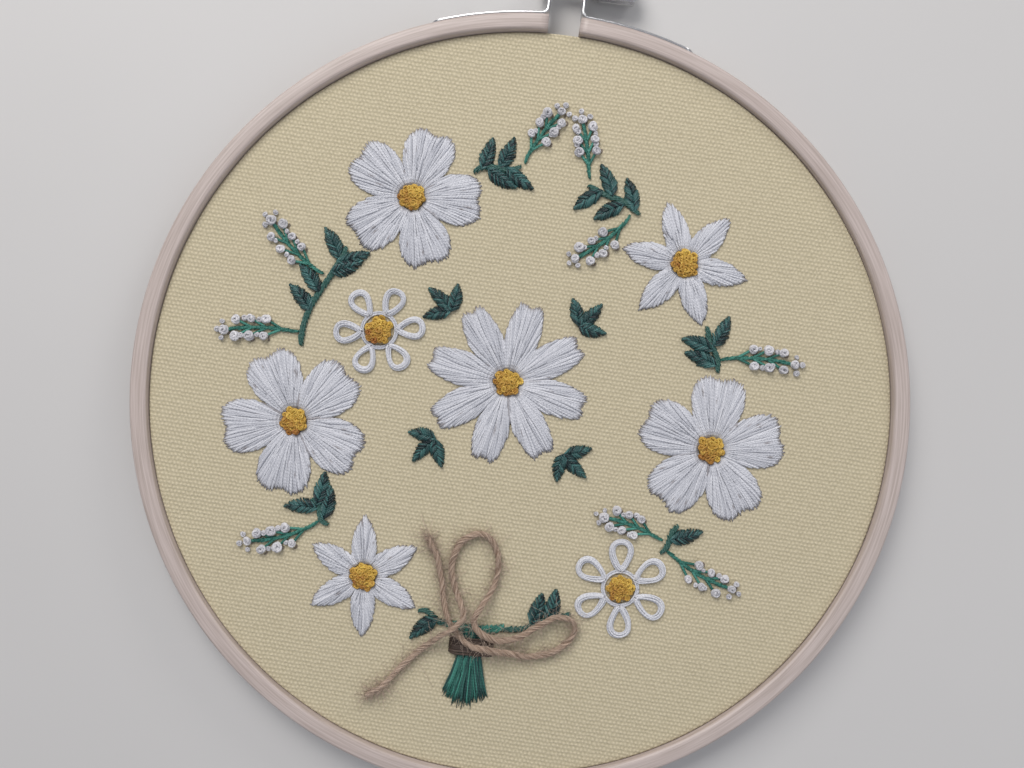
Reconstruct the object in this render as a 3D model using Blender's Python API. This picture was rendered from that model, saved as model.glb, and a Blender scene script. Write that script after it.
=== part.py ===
"""Hoop embroidery art: flower stitching on cloth stretched in a round wooden hoop.

The hoop lies face up. +Z points out of the cloth, +Y from the middle towards the clamp.
The origin is on the resting surface, under the middle of the hoop and clamp together.
Lengths below are in millimetres and angles in degrees. MM turns them into metres.
"""
from math import atan2, cos, degrees, exp, hypot, pi, radians, sin

import bmesh
import bpy

MM = 0.001
FIT = 0.3  # clearance between touching pieces

# Wooden rings, an ordinary 20 cm hoop
RING_INSIDE = 100.3
RING_WALL = 4.5
RING_HEIGHT = 10.0
RING_ROUNDING = 0.8
RING_OUTSIDE = RING_INSIDE + RING_WALL
SPLIT_WIDTH = 8.6
CLOTH_THICKNESS = 1.0
CLOTH_DEPTH = 2.0  # from the ring's top down to the cloth
CLOTH_TOP = RING_HEIGHT - CLOTH_DEPTH
CLOTH_RADIUS = RING_INSIDE - FIT
INNER_RING_OUTSIDE = CLOTH_RADIUS - CLOTH_THICKNESS - FIT
INNER_RING_WALL = 4.7
INNER_RING_HEIGHT = CLOTH_TOP - CLOTH_THICKNESS - FIT

# Clamp: bent steel straps, pins, screw and thumb nut
STRAP_THICKNESS = 0.9
STRAP_HEIGHT = 6.6
STRAP_LENGTH = 30.0
STRAP_BEND = 1.6
SCREW_OUT = 10.8  # from the ring's outside to the screw's axis
EAR_PAST_SCREW = 4.2
SCREW_RADIUS = 1.9
SCREW_HEAD_RADIUS = 3.5
SCREW_HEAD_LENGTH = 2.4
NUT_RADIUS = 4.2
NUT_LENGTH = 13.0
NUT_RIDGES = 10
PIN_RADIUS = 0.7
PIN_HEAD_RADIUS = 1.7
PIN_ALONG = (10.0, 22.0)  # distance from the strap's bend, along the ring
PIN_DEPTH = 3.0
MID_HEIGHT = RING_HEIGHT / 2
SCREW_Y = RING_OUTSIDE + SCREW_OUT
REACH_Y = SCREW_Y + EAR_PAST_SCREW

# The hoop's centre lies back from the origin by half of what the clamp adds.
CENTRE_Y = -(REACH_Y - RING_OUTSIDE) / 2

# Stitching
STITCH_BASE = CLOTH_TOP + FIT
STITCH_HEIGHT = 0.9
STEM_WIDTH = 1.7
STEM_SWAY = 0.6
LEAF_WIDTH = 4.0
LEAF_LENGTH = 9.0
LEAF_LEAN = 50.0  # away from the stem
LOOP_STEPS = 8
KNOT_RADIUS = 1.4
KNOT_HEIGHT = 1.7
KNOT_OFFSET = 2.5  # from a stalk's middle to a knot beside it
STALK_WIDTH = 1.1
HEART_RADIUS = 3.9
HEART_HEIGHT = 1.7

# Wreath: an ellipse around which the motifs are set
WREATH_X = -4.0
WREATH_Y = 1.0
WREATH_HALF_WIDTH = 57.0
WREATH_HALF_HEIGHT = 62.0
TIE_X = -5.6
TIE_Y = -62.0
TIE_DIP = 1.0
TIE_SPREAD = 5.8  # from the tie's middle to where the wreath's stems begin

# Blossoms: wreath angle, distance outside the wreath line, radius, petals, turn
BLOSSOMS = {
    # name: (kind, angle, outward, radius, petals, turn)
    "rose_left": ("rose", 192, 0.0, 20.5, 5, 12),
    "rose_top": ("rose", 124, -1.0, 19.5, 5, 40),
    "rose_right": ("rose", 353, 0.0, 20.5, 5, -20),
    "star_left": ("star", 236, 1.0, 16.5, 6, 5),
    "star_right": ("star", 41, 1.0, 17.5, 6, 22),
    "loop_left": ("loop", 161, -19.0, 12.5, 6, 10),
    "loop_right": ("loop", 310, 0.0, 13.5, 6, 35),
    "cosmos_middle": ("cosmos", 90, -58.0, 22.0, 8, 11),
}

# Stretches of stem along the wreath line, and the leaves on them
SPRIGS = {
    # name: (from angle, to angle, leaf angles outside, leaf angles inside)
    "sprig_tie_left": (261.6, 253.0, (258.5,), ()),
    "sprig_low_left": (220.0, 212.0, (215,), (218, 214)),
    "sprig_mid_left": (173.0, 145.5, (164, 159, 149), (153, 150)),
    "sprig_top_left": (106.0, 93.0, (104, 99), (102, 97)),
    "sprig_tie_right": (276.4, 295.0, (), (284, 288.5)),
    "sprig_low_right": (324.0, 332.0, (328,), ()),
    "sprig_mid_right": (12.5, 24.0, (19,), (14, 18)),
    "sprig_top_right": (58.5, 74.0, (60, 67), (63, 70)),
}

# Leaf groups in the corners around the middle blossom
CORNER_LEAVES = (45, 135, 225, 315)
CORNER_DISTANCE = 24.5

# Sprays of knots: wreath angle, side, lean from square to the stem, length, bend
SPRAYS = {
    # name: (angle, side, lean, length, bend)
    "spray_low_left": (218, 1, 2, 20.0, -16),
    "spray_mid_left": (170, 1, 4, 20.0, 10),
    "spray_high_left": (154.5, 1, -2, 20.0, -14),
    "spray_top_left": (92.3, 1, -22, 17.0, -10),
    "spray_low_right": (325.5, 1, -6, 20.0, 14),
    "spray_mid_right": (15.5, 1, 0, 20.0, -12),
    "spray_high_right": (74.6, 1, 24, 16.0, 6),
    "spray_in_low": (326.5, -1, 4, 17.0, 12),
    "spray_in_high": (60.0, -1, 0, 19.0, -14),
}

# Stem ends below the tie: end points, measured from the hoop's centre
STEM_ENDS = ((-11.0, -79.8), (-8.3, -81.6), (-5.6, -82.3), (-3.0, -81.7), (-0.4, -79.9))
WRAP_X = -5.4
WRAP_Y = -66.4
WRAP_WIDTH = 12.4
WRAP_LENGTH = 4.6
WRAP_THICKNESS = 0.8

# Twine: route of its middle line, measured from the hoop's centre and the cloth's top.
# The tail from lower left, up round the tall loop, round the side loop, and out again.
TWINE_RADIUS = 1.0
TWINE_ROUTE = (
    # (x, y, height)
    (-31.9, -82.6, 1.5), (-27.9, -79.7, 1.4), (-23.3, -73.8, 1.4), (-18.4, -68.4, 1.5),
    (-14.0, -64.2, 3.4), (-10.8, -61.3, 5.4), (-8.3, -58.2, 5.0), (-9.5, -54.8, 3.2),
    (-11.6, -51.0, 1.6), (-12.9, -46.8, 1.4), (-12.8, -42.6, 1.4), (-10.9, -38.6, 1.4),
    (-7.2, -36.2, 1.4), (-3.4, -37.3, 1.4), (-1.3, -40.8, 1.4), (-0.6, -45.4, 1.4),
    (-1.4, -50.2, 1.6), (-3.4, -54.2, 3.0), (-5.2, -57.6, 3.6), (-4.9, -60.6, 3.8),
    (-1.9, -62.7, 3.8), (2.2, -63.6, 2.8), (6.6, -62.4, 2.6), (11.4, -58.9, 2.6),
    (16.0, -55.9, 2.6), (20.2, -56.0, 2.6), (21.7, -58.9, 1.6), (19.8, -62.7, 1.4),
    (15.4, -65.9, 1.4), (9.6, -67.4, 1.4), (4.2, -66.8, 2.6), (-1.0, -66.3, 3.8),
    (-5.9, -65.5, 3.8), (-10.0, -62.6, 3.0), (-12.9, -58.2, 2.6), (-14.4, -53.6, 1.6),
    (-15.6, -48.6, 1.4), (-17.4, -43.4, 1.4), (-20.4, -38.5, 1.5),
)
TWINE_STEP = 3.8

# Finishes: colour, roughness, metallic
WOOD = ((0.52, 0.45, 0.41), 0.55, 0.0)
CLOTH = ((0.60, 0.54, 0.35), 0.9, 0.0)
STEEL = ((0.62, 0.62, 0.63), 0.3, 1.0)
WHITE_THREAD = ((0.66, 0.67, 0.72), 0.7, 0.0)
YELLOW_THREAD = ((0.60, 0.35, 0.06), 0.7, 0.0)
GREEN_THREAD = ((0.03, 0.26, 0.16), 0.7, 0.0)
BROWN_THREAD = ((0.18, 0.08, 0.04), 0.8, 0.0)
TWINE_FIBRE = ((0.40, 0.27, 0.20), 0.95, 0.0)


# Small tools
def clear_scene():
    for old in list(bpy.data.objects):
        bpy.data.objects.remove(old)


def polar(radius, angle):
    return radius * cos(radians(angle)), radius * sin(radians(angle))


def wreath_point(angle, outward=0.0):
    """Point beside the wreath line, which dips to the tie at its lowest part."""
    dip = TIE_DIP * exp(-(((angle - 267.0) / 9.0) ** 2))
    x = WREATH_X + (WREATH_HALF_WIDTH + outward) * cos(radians(angle))
    y = WREATH_Y + (WREATH_HALF_HEIGHT + outward + dip) * sin(radians(angle))
    return x, y


def circle(radius, z, sides, phase=0.0):
    """Points of a level circle around the hoop's centre."""
    turns = [360.0 * k / sides + phase for k in range(sides)]
    return [(*polar(radius, turn), z) for turn in turns]


def loft(bm, loops, closed=False):
    """Quads between loops of equally many points, with end faces unless closed."""
    rows = [[bm.verts.new(point) for point in loop] for loop in loops]
    faces = []
    following = rows[1:] + rows[:1] if closed else rows[1:]
    for row, after in zip(rows, following):
        for i in range(len(row)):
            j = (i + 1) % len(row)
            faces.append(bm.faces.new((row[i], row[j], after[j], after[i])))
    if not closed:
        faces.append(bm.faces.new(rows[0]))
        faces.append(bm.faces.new(rows[-1]))
    bmesh.ops.recalc_face_normals(bm, faces=faces)
    return rows


def finish_material(name, finish):
    colour, roughness, metallic = finish
    material = bpy.data.materials.new(name)
    material.use_nodes = True
    shader = material.node_tree.nodes["Principled BSDF"]
    shader.inputs["Base Color"].default_value = (*colour, 1.0)
    shader.inputs["Roughness"].default_value = roughness
    shader.inputs["Metallic"].default_value = metallic
    return material


def make_object(name, bm, finish, sharp=35.0):
    """Object from a mesh in millimetres around the hoop's centre."""
    bmesh.ops.scale(bm, verts=bm.verts, vec=(MM, MM, MM))
    mesh = bpy.data.meshes.new(name)
    bm.to_mesh(mesh)
    bm.free()
    mesh.shade_smooth()
    mesh.set_sharp_from_angle(angle=radians(sharp))
    made = bpy.data.objects.new(name, mesh)
    made.location.y = CENTRE_Y * MM
    bpy.context.scene.collection.objects.link(made)
    if finish is not None:
        mesh.materials.append(finish_material(name + "_finish", finish))
    return made


def cut_or_join(target, tool, operation):
    """Boolean with a hidden tool object; a union also joins the target's own shells."""
    tool.hide_render = True
    tool.display_type = "WIRE"
    step = target.modifiers.new(operation.lower(), "BOOLEAN")
    step.object = tool
    step.operation = operation
    step.solver = "EXACT"
    step.use_self = operation == "UNION"


def fused(name, shells, finish):
    """One closed body from overlapping shells, each a list of loops."""
    bm = bmesh.new()
    for loops in shells[1:]:
        loft(bm, loops)
    body = make_object(name, bm, finish)
    first = bmesh.new()
    loft(first, shells[0])
    cut_or_join(body, make_object(name + "_root", first, None), "UNION")
    return body


# Wooden rings and the cloth between them
def ring_section(inside, outside, low, high, rounding):
    """Section of a ring in (radius, height), its four edges rounded by two points."""
    near, far = inside + rounding, outside - rounding
    foot, top = low + rounding, high - rounding
    return ((near, low), (far, low), (outside, foot), (outside, top),
            (far, high), (near, high), (inside, top), (inside, foot))


def make_outer_ring():
    """Split ring: its section carried round from one side of the split to the other."""
    steps = 60
    half_gap = degrees(SPLIT_WIDTH / 2 / (RING_INSIDE + RING_WALL / 2))
    start = 90.0 + half_gap
    sweep = 360.0 - 2 * half_gap
    section = ring_section(RING_INSIDE, RING_OUTSIDE, 0.0, RING_HEIGHT, RING_ROUNDING)
    turns = [start + sweep * k / steps for k in range(steps + 1)]
    bm = bmesh.new()
    loft(bm, [[(*polar(r, turn), z) for r, z in section] for turn in turns])
    ring = make_object("outer_ring", bm, WOOD)
    for side in (-1, 1):
        for along in PIN_ALONG:
            hole = bmesh.new()
            reach = RING_OUTSIDE - PIN_DEPTH - FIT
            loft(hole, pin_loops(side, along, ((reach, PIN_RADIUS + FIT),
                                               (RING_OUTSIDE + 1, PIN_RADIUS + FIT))))
            cut_or_join(ring, make_object("pin_hole", hole, None), "DIFFERENCE")
    return ring


def make_inner_ring():
    steps = 45
    inside = INNER_RING_OUTSIDE - INNER_RING_WALL
    section = ring_section(inside, INNER_RING_OUTSIDE, 0.0, INNER_RING_HEIGHT, RING_ROUNDING)
    bm = bmesh.new()
    turns = [360.0 * k / steps for k in range(steps)]
    loft(bm, [[(*polar(r, turn), z) for r, z in section] for turn in turns], closed=True)
    return make_object("inner_ring", bm, WOOD)


def make_ground_cloth():
    """Taut disc whose rim folds down between the rings: turned from its section."""
    sides = 60
    under = CLOTH_TOP - CLOTH_THICKNESS
    inside = CLOTH_RADIUS - CLOTH_THICKNESS
    section = ((CLOTH_RADIUS - 0.9, CLOTH_TOP), (CLOTH_RADIUS - 0.25, CLOTH_TOP - 0.25),
               (CLOTH_RADIUS, CLOTH_TOP - 0.9), (CLOTH_RADIUS, FIT), (inside, FIT),
               (inside, under - 0.6), (inside - 0.6, under))
    bm = bmesh.new()
    loft(bm, [circle(r, z, sides) for r, z in section])
    return make_object("ground_cloth", bm, CLOTH)


# Clamp
def strap_line(side):
    """Middle line of a bracket: along the ring, round the bend, out along the ear."""
    radius = RING_OUTSIDE + FIT + STRAP_THICKNESS / 2
    ear_x = SPLIT_WIDTH / 2 + STRAP_THICKNESS / 2
    bend_x = ear_x + STRAP_BEND
    start = degrees(bend_x / radius)
    sweep = degrees(STRAP_LENGTH / radius)
    line = []
    for k in range(8, -1, -1):
        x, y = polar(radius, 90.0 - start - sweep * k / 8)
        line.append((x, y))
    base_y = line[-1][1]
    for turn in (60.0, 30.0, 0.0):
        dx, dy = polar(STRAP_BEND, 180.0 + turn)
        line.append((bend_x + dx, base_y + STRAP_BEND + dy))
    line.append((ear_x, SCREW_Y))
    line.append((ear_x, REACH_Y))
    return [(side * x, y) for x, y in line]


def offset_line(line, offset):
    """The line moved sideways by the offset, square to its own direction."""
    moved = []
    for i, (x, y) in enumerate(line):
        x0, y0 = line[max(i - 1, 0)]
        x1, y1 = line[min(i + 1, len(line) - 1)]
        length = hypot(x1 - x0, y1 - y0)
        moved.append((x - offset * (y1 - y0) / length, y + offset * (x1 - x0) / length))
    return moved


def pin_loops(side, along, steps):
    """Turned shape on a pin's axis, as (distance from the hoop's centre, radius)."""
    radius = RING_OUTSIDE
    bend_x = SPLIT_WIDTH / 2 + STRAP_THICKNESS / 2 + STRAP_BEND
    turn = radians(90.0 - side * degrees((bend_x + along) / radius))
    loops = []
    for distance, size in steps:
        loop = []
        for k in range(8):
            across, up = polar(size, 45.0 * k)
            loop.append((distance * cos(turn) - across * sin(turn),
                         distance * sin(turn) + across * cos(turn), MID_HEIGHT + up))
        loops.append(loop)
    return loops


def screw_loops(steps, sides=16, ridge=0.0):
    """Turned shape on the screw's axis, as (place along X, radius)."""
    loops = []
    for x, size in steps:
        loop = []
        for k in range(sides):
            swell = ridge if k % 2 else 0.0
            out, up = polar(size - swell, 360.0 * k / sides)
            loop.append((x, SCREW_Y + out, MID_HEIGHT + up))
        loops.append(loop)
    return loops


def make_bracket(name, side):
    line = strap_line(side)
    half = STRAP_THICKNESS / 2
    outline = offset_line(line, half) + offset_line(line, -half)[::-1]
    low, high = MID_HEIGHT - STRAP_HEIGHT / 2, MID_HEIGHT + STRAP_HEIGHT / 2
    bm = bmesh.new()
    bottom, top = loft(bm, [[(x, y, z) for x, y in outline] for z in (low, high)])
    count = len(line)
    corners = []
    for row in (bottom, top):
        for first, second in ((0, 2 * count - 1), (count - 1, count)):
            corners += [edge for edge in row[first].link_edges if row[second] in edge.verts]
    bmesh.ops.bevel(bm, geom=corners, offset=2.4, segments=4, profile=0.5, affect="EDGES")
    bracket = make_object(name, bm, STEEL)
    hole = bmesh.new()
    ear = side * (SPLIT_WIDTH / 2)
    loft(hole, screw_loops(((ear - 3, SCREW_RADIUS + FIT), (ear + 3, SCREW_RADIUS + FIT))))
    cut_or_join(bracket, make_object(name + "_screw_hole", hole, None), "DIFFERENCE")
    for along in PIN_ALONG:
        hole = bmesh.new()
        loft(hole, pin_loops(side, along, ((RING_OUTSIDE - 2, PIN_RADIUS + FIT),
                                           (RING_OUTSIDE + 4, PIN_RADIUS + FIT))))
        cut_or_join(bracket, make_object(name + "_pin_hole", hole, None), "DIFFERENCE")
    return bracket


def make_pin(name, side, along):
    """Dome-headed pin through the strap into the ring."""
    seat = RING_OUTSIDE + 2 * FIT + STRAP_THICKNESS + 0.1
    steps = ((RING_OUTSIDE - PIN_DEPTH, PIN_RADIUS), (seat, PIN_RADIUS),
             (seat, PIN_HEAD_RADIUS), (seat + 0.5, PIN_HEAD_RADIUS * 0.85),
             (seat + 0.8, PIN_HEAD_RADIUS * 0.4))
    bm = bmesh.new()
    loft(bm, pin_loops(side, along, steps))
    return make_object(name, bm, STEEL)


def make_clamp_screw():
    """Screw through both ears, its round head outside the left ear."""
    ear = SPLIT_WIDTH / 2 + STRAP_THICKNESS + FIT
    tip = ear + NUT_LENGTH + 1.2
    steps = ((-ear - SCREW_HEAD_LENGTH, SCREW_HEAD_RADIUS * 0.8),
             (-ear - SCREW_HEAD_LENGTH + 0.6, SCREW_HEAD_RADIUS),
             (-ear, SCREW_HEAD_RADIUS), (-ear, SCREW_RADIUS),
             (tip - 0.5, SCREW_RADIUS), (tip, SCREW_RADIUS - 0.5))
    bm = bmesh.new()
    loft(bm, screw_loops(steps))
    return make_object("clamp_screw", bm, STEEL)


def make_thumb_nut():
    """Long ridged nut outside the right ear, with the screw's bore through it."""
    near = SPLIT_WIDTH / 2 + STRAP_THICKNESS + FIT
    far = near + NUT_LENGTH
    steps = ((near, NUT_RADIUS - 1.0), (near + 2.0, NUT_RADIUS - 1.0),
             (near + 2.6, NUT_RADIUS), (far - 0.6, NUT_RADIUS), (far, NUT_RADIUS - 0.6))
    bm = bmesh.new()
    loft(bm, screw_loops(steps, sides=2 * NUT_RIDGES, ridge=0.35))
    nut = make_object("thumb_nut", bm, STEEL)
    bore = bmesh.new()
    loft(bore, screw_loops(((near - 1, SCREW_RADIUS + FIT), (far + 1, SCREW_RADIUS + FIT))))
    cut_or_join(nut, make_object("thumb_nut_bore", bore, None), "DIFFERENCE")
    return nut


# Stitching in low relief
def stitched_bar(points, widths, height=STITCH_HEIGHT):
    """Loops of a raised bar lying on the cloth along the points."""
    loops = []
    for i, (x, y) in enumerate(points):
        x0, y0 = points[max(i - 1, 0)]
        x1, y1 = points[min(i + 1, len(points) - 1)]
        length = hypot(x1 - x0, y1 - y0)
        nx, ny = -(y1 - y0) / length, (x1 - x0) / length
        half = widths[i] / 2
        rise = height * (0.55 + 0.45 * min(1.0, widths[i] / max(widths)))
        loop = []
        for across, up in ((-1.0, 0.0), (-0.55, 1.0), (0.55, 1.0), (1.0, 0.0)):
            loop.append((x + nx * half * across, y + ny * half * across,
                         STITCH_BASE + rise * up))
        loops.append(loop)
    return loops


def leaf(x, y, heading, length=LEAF_LENGTH, width=LEAF_WIDTH):
    """Pointed leaf that starts at the point and bends a little as it goes."""
    points = []
    widths = []
    steps = 4
    for k in range(steps + 1):
        part = k / steps
        dx, dy = polar(length * part, heading + 10.0 * part)
        points.append((x + dx, y + dy))
        widths.append(0.5 + (width - 0.5) * sin(pi * part ** 0.85) ** 0.8)
    return stitched_bar(points, widths)


def knot(x, y, radius=KNOT_RADIUS, height=KNOT_HEIGHT):
    """French knot: a low six-sided bead with a blunt top."""
    loops = []
    for part, size in ((0.0, 0.9), (0.55, 1.0), (1.0, 0.3)):
        z = STITCH_BASE + height * part
        loops.append([(x + px, y + py, z) for px, py, _ in circle(radius * size, 0, 6)])
    return loops


def wreath_heading(angle):
    x0, y0 = wreath_point(angle - 1)
    x1, y1 = wreath_point(angle + 1)
    return degrees(atan2(y1 - y0, x1 - x0))


def make_sprig(name, start, end, outside, inside):
    """Stem along the wreath line, with leaves on both sides that point onwards."""
    steps = max(3, int(abs(end - start) / 3.0))
    line = []
    for k in range(steps + 1):
        sway = STEM_SWAY * sin(2 * pi * k / steps)
        line.append(wreath_point(start + (end - start) * k / steps, sway))
    shells = [stitched_bar(line, [STEM_WIDTH] * len(line))]
    way = 1 if end > start else -1
    for angles, side in ((outside, 1), (inside, -1)):
        for angle in angles:
            x, y = wreath_point(angle)
            heading = wreath_heading(angle) + (0 if way > 0 else 180)
            shells.append(leaf(x, y, heading - way * side * LEAF_LEAN))
    return fused(name, shells, GREEN_THREAD)


def make_corner_leaves(name, angle):
    """Three leaves fanned from one point outside the middle blossom."""
    middle = blossom_centre("cosmos_middle")
    dx, dy = polar(CORNER_DISTANCE, angle)
    x, y = middle[0] + dx, middle[1] + dy
    shells = []
    for spread, length in ((0, 8.5), (-58, 7.5), (58, 7.5)):
        shells.append(leaf(x, y, angle + spread - 5, length, 3.6))
    return fused(name, shells, GREEN_THREAD)


def make_spray(name, angle, side, lean, length, bend):
    """Curved stalk from the stem's edge, with knots on both sides and at its tip."""
    x, y = wreath_point(angle, side * (STEM_WIDTH + STALK_WIDTH) / 2)
    heading = wreath_heading(angle) - side * 90.0 + lean
    steps = 5
    line = []
    for k in range(steps + 1):
        part = k / steps
        dx, dy = polar(length * part, heading + bend * part)
        line.append((x + dx, y + dy))
    shells = [stitched_bar(line, [STALK_WIDTH] * len(line), 0.7)]
    for k in range(2, steps):
        kx, ky = line[k]
        away = heading + bend * k / steps
        for turn in (-68, 68):
            px, py = polar(KNOT_OFFSET, away + turn)
            tip = (kx + px, ky + py)
            shells.append(stitched_bar([(kx, ky), tip], [0.9, 0.9], 0.6))
            shells.append(knot(*tip))
    shells.append(knot(*line[-1]))
    return fused(name, shells, WHITE_THREAD)


def petal_reach(kind, u):
    """Reach of a petal, as a part of the blossom's radius, at -1 to 1 across it."""
    if kind == "rose":
        return 1.0 - 0.55 * abs(u) ** 3.2 - 0.08 * exp(-((u / 0.22) ** 2))
    if kind == "star":
        return 1.0 - 0.66 * abs(u) ** 1.1
    return 1.0 - 0.55 * abs(u) ** 2.6 - 0.03 * cos(3 * pi * u)


def blossom_centre(name):
    _, angle, outward, _, _, _ = BLOSSOMS[name]
    return wreath_point(angle, outward)


def make_satin_blossom(name, kind, radius, petals, turn):
    """Petals in one low ring: rows of points between the heart and the petal ends."""
    x, y = blossom_centre(name)
    across = 8
    columns = petals * across
    hollow = HEART_RADIUS + FIT
    rows = ((0.0, 0.0), (0.0, 0.75), (0.5, 1.0), (1.0, 0.55), (1.0, 0.0))
    loops = []
    for part, rise in rows:
        loop = []
        for k in range(columns):
            u = 2.0 * (k % across) / across - 1.0
            reach = radius * petal_reach(kind, u)
            crown = 0.62 + 0.38 * cos(pi * u / 2)
            z = STITCH_BASE + STITCH_HEIGHT * 1.15 * rise * (crown if rise else 1.0)
            px, py = polar(hollow + (reach - hollow) * part, turn + 360.0 * k / columns)
            loop.append((x + px, y + py, z))
        loops.append(loop)
    bm = bmesh.new()
    loft(bm, loops, closed=True)
    return make_object(name, bm, WHITE_THREAD)


def make_open_blossom(name, radius, petals, turn):
    """Open thread loops around the heart, on a narrow ring that joins their roots."""
    x, y = blossom_centre(name)
    hollow = HEART_RADIUS + FIT
    bm = bmesh.new()
    for k in range(petals):
        middle = turn + 360.0 * k / petals
        line = []
        for s in range(LOOP_STEPS + 1):
            swing = 2 * pi * s / LOOP_STEPS
            out = hollow + 0.9 + (radius - hollow - 1.8) * (1 - cos(swing)) / 2
            side = 0.17 * radius * sin(swing) * (1 - 0.45 * cos(swing))
            px, py = polar(out, middle)
            qx, qy = polar(side, middle + 90)
            line.append((x + px + qx, y + py + qy))
        loft(bm, stitched_bar(line, [STEM_WIDTH] * len(line)))
    body = make_object(name, bm, WHITE_THREAD)
    rim = []
    for r, z in ((0.0, 0.0), (0.0, 0.7), (1.3, 0.7), (1.3, 0.0)):
        ring = circle(hollow + r, STITCH_BASE + z, 12)
        rim.append([(x + px, y + py, pz) for px, py, pz in ring])
    root = bmesh.new()
    loft(root, rim, closed=True)
    cut_or_join(body, make_object(name + "_root", root, None), "UNION")
    return body


def make_heart(name, x, y):
    """Low lumpy dome of packed knots in a blossom's middle."""
    sides = 12
    loops = []
    for size, rise in ((1.0, 0.0), (0.95, 0.65), (0.5, 1.0)):
        loop = []
        for k in range(sides):
            swell = 1.0 if k % 2 else 0.93
            px, py = polar(HEART_RADIUS * size * swell, 360.0 * k / sides)
            loop.append((x + px, y + py, STITCH_BASE + HEART_HEIGHT * rise))
        loops.append(loop)
    bm = bmesh.new()
    loft(bm, loops)
    return make_object(name, bm, YELLOW_THREAD)


def make_stem_ends():
    """Short stem ends that meet under the tie and spread below it."""
    shells = []
    for end_x, end_y in STEM_ENDS:
        bend = (TIE_X + 0.55 * (end_x - TIE_X) * 0.8, TIE_Y + 0.5 * (end_y - TIE_Y))
        line = [(TIE_X + 0.25 * (end_x - TIE_X), TIE_Y + 1.0), bend, (end_x, end_y)]
        shells.append(stitched_bar(line, [2.6, 2.4, 2.2]))
    across = [(TIE_X + TIE_SPREAD * k, TIE_Y) for k in (-1, 0, 1.2)]
    shells.append(stitched_bar(across, [2.4, 2.4, 2.4]))
    return fused("stem_ends", shells, GREEN_THREAD)


def make_wraps():
    """Brown couched wraps: an arch of thread over the stem ends."""
    half = WRAP_WIDTH / 2
    under = STITCH_BASE + STITCH_HEIGHT + FIT
    top = under + WRAP_THICKNESS
    foot = 1.0
    section = ((-half, STITCH_BASE), (-half + 0.7, top - 0.3), (-half + 1.9, top),
               (half - 1.9, top), (half - 0.7, top - 0.3), (half, STITCH_BASE),
               (half - foot, STITCH_BASE), (half - foot - 0.3, under),
               (-half + foot + 0.3, under), (-half + foot, STITCH_BASE))
    loops = []
    for k in range(5):
        y = WRAP_Y - WRAP_LENGTH / 2 + WRAP_LENGTH * k / 4
        narrower = 1.0 - 0.02 * (k % 2)
        loops.append([(WRAP_X + px * narrower, y, z) for px, z in section])
    bm = bmesh.new()
    loft(bm, loops)
    return make_object("tie_wraps", bm, BROWN_THREAD)


# Twine
def smooth_route(route, step):
    """Evenly spaced points on the Catmull-Rom curve through the route's points."""
    dense = []
    ends = [route[0]] + list(route) + [route[-1]]
    for i in range(len(route) - 1):
        a, b, c, d = ends[i:i + 4]
        for k in range(20):
            t = k / 20
            dense.append([0.5 * (2 * b[n] + (c[n] - a[n]) * t
                                 + (2 * a[n] - 5 * b[n] + 4 * c[n] - d[n]) * t * t
                                 + (3 * b[n] - a[n] - 3 * c[n] + d[n]) * t ** 3)
                          for n in range(3)])
    dense.append(list(route[-1]))
    travelled = [0.0]
    for p, q in zip(dense, dense[1:]):
        travelled.append(travelled[-1] + sum((p[n] - q[n]) ** 2 for n in range(3)) ** 0.5)
    count = int(travelled[-1] / step)
    points = []
    place = 0
    for k in range(count + 1):
        wanted = travelled[-1] * k / count
        while place < len(dense) - 2 and travelled[place + 1] < wanted:
            place += 1
        span = travelled[place + 1] - travelled[place]
        t = (wanted - travelled[place]) / span
        points.append([dense[place][n] * (1 - t) + dense[place + 1][n] * t for n in range(3)])
    return points


def make_twine():
    points = smooth_route(TWINE_ROUTE, TWINE_STEP)
    curve = bpy.data.curves.new("twine_tie", "CURVE")
    curve.dimensions = "3D"
    curve.bevel_depth = TWINE_RADIUS * MM
    curve.bevel_resolution = 2
    curve.use_fill_caps = True
    spline = curve.splines.new("POLY")
    spline.points.add(len(points) - 1)
    for spot, (x, y, height) in zip(spline.points, points):
        spot.co = (x * MM, y * MM, (CLOTH_TOP + height) * MM, 1.0)
    curve.materials.append(finish_material("twine_finish", TWINE_FIBRE))
    twine = bpy.data.objects.new("twine_tie", curve)
    twine.location.y = CENTRE_Y * MM
    bpy.context.scene.collection.objects.link(twine)
    return twine


def build():
    clear_scene()
    make_outer_ring()
    make_inner_ring()
    make_ground_cloth()
    for side, word in ((-1, "left"), (1, "right")):
        make_bracket("bracket_" + word, side)
        for number, along in enumerate(PIN_ALONG, 1):
            make_pin("pin_" + word + "_" + str(number), side, along)
    make_clamp_screw()
    make_thumb_nut()
    for name, (kind, _, _, radius, petals, turn) in BLOSSOMS.items():
        if kind == "loop":
            make_open_blossom(name, radius, petals, turn)
        else:
            make_satin_blossom(name, kind, radius, petals, turn)
        make_heart("heart_" + name, *blossom_centre(name))
    for name, row in SPRIGS.items():
        make_sprig(name, *row)
    for number, angle in enumerate(CORNER_LEAVES, 1):
        make_corner_leaves("corner_leaves_" + str(number), angle)
    for name, row in SPRAYS.items():
        make_spray(name, *row)
    make_stem_ends()
    make_wraps()
    make_twine()


build()
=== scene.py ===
# %% [markdown]
# # Hoop embroidery art
#
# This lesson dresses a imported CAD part, a wooden hoop with stitched cloth, in real threads.
# The part gives the places. Each piece below is a surface worked out with numpy, in
# millimetres around the hoop's middle. At the end it becomes a mesh in metres.

import math

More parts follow.
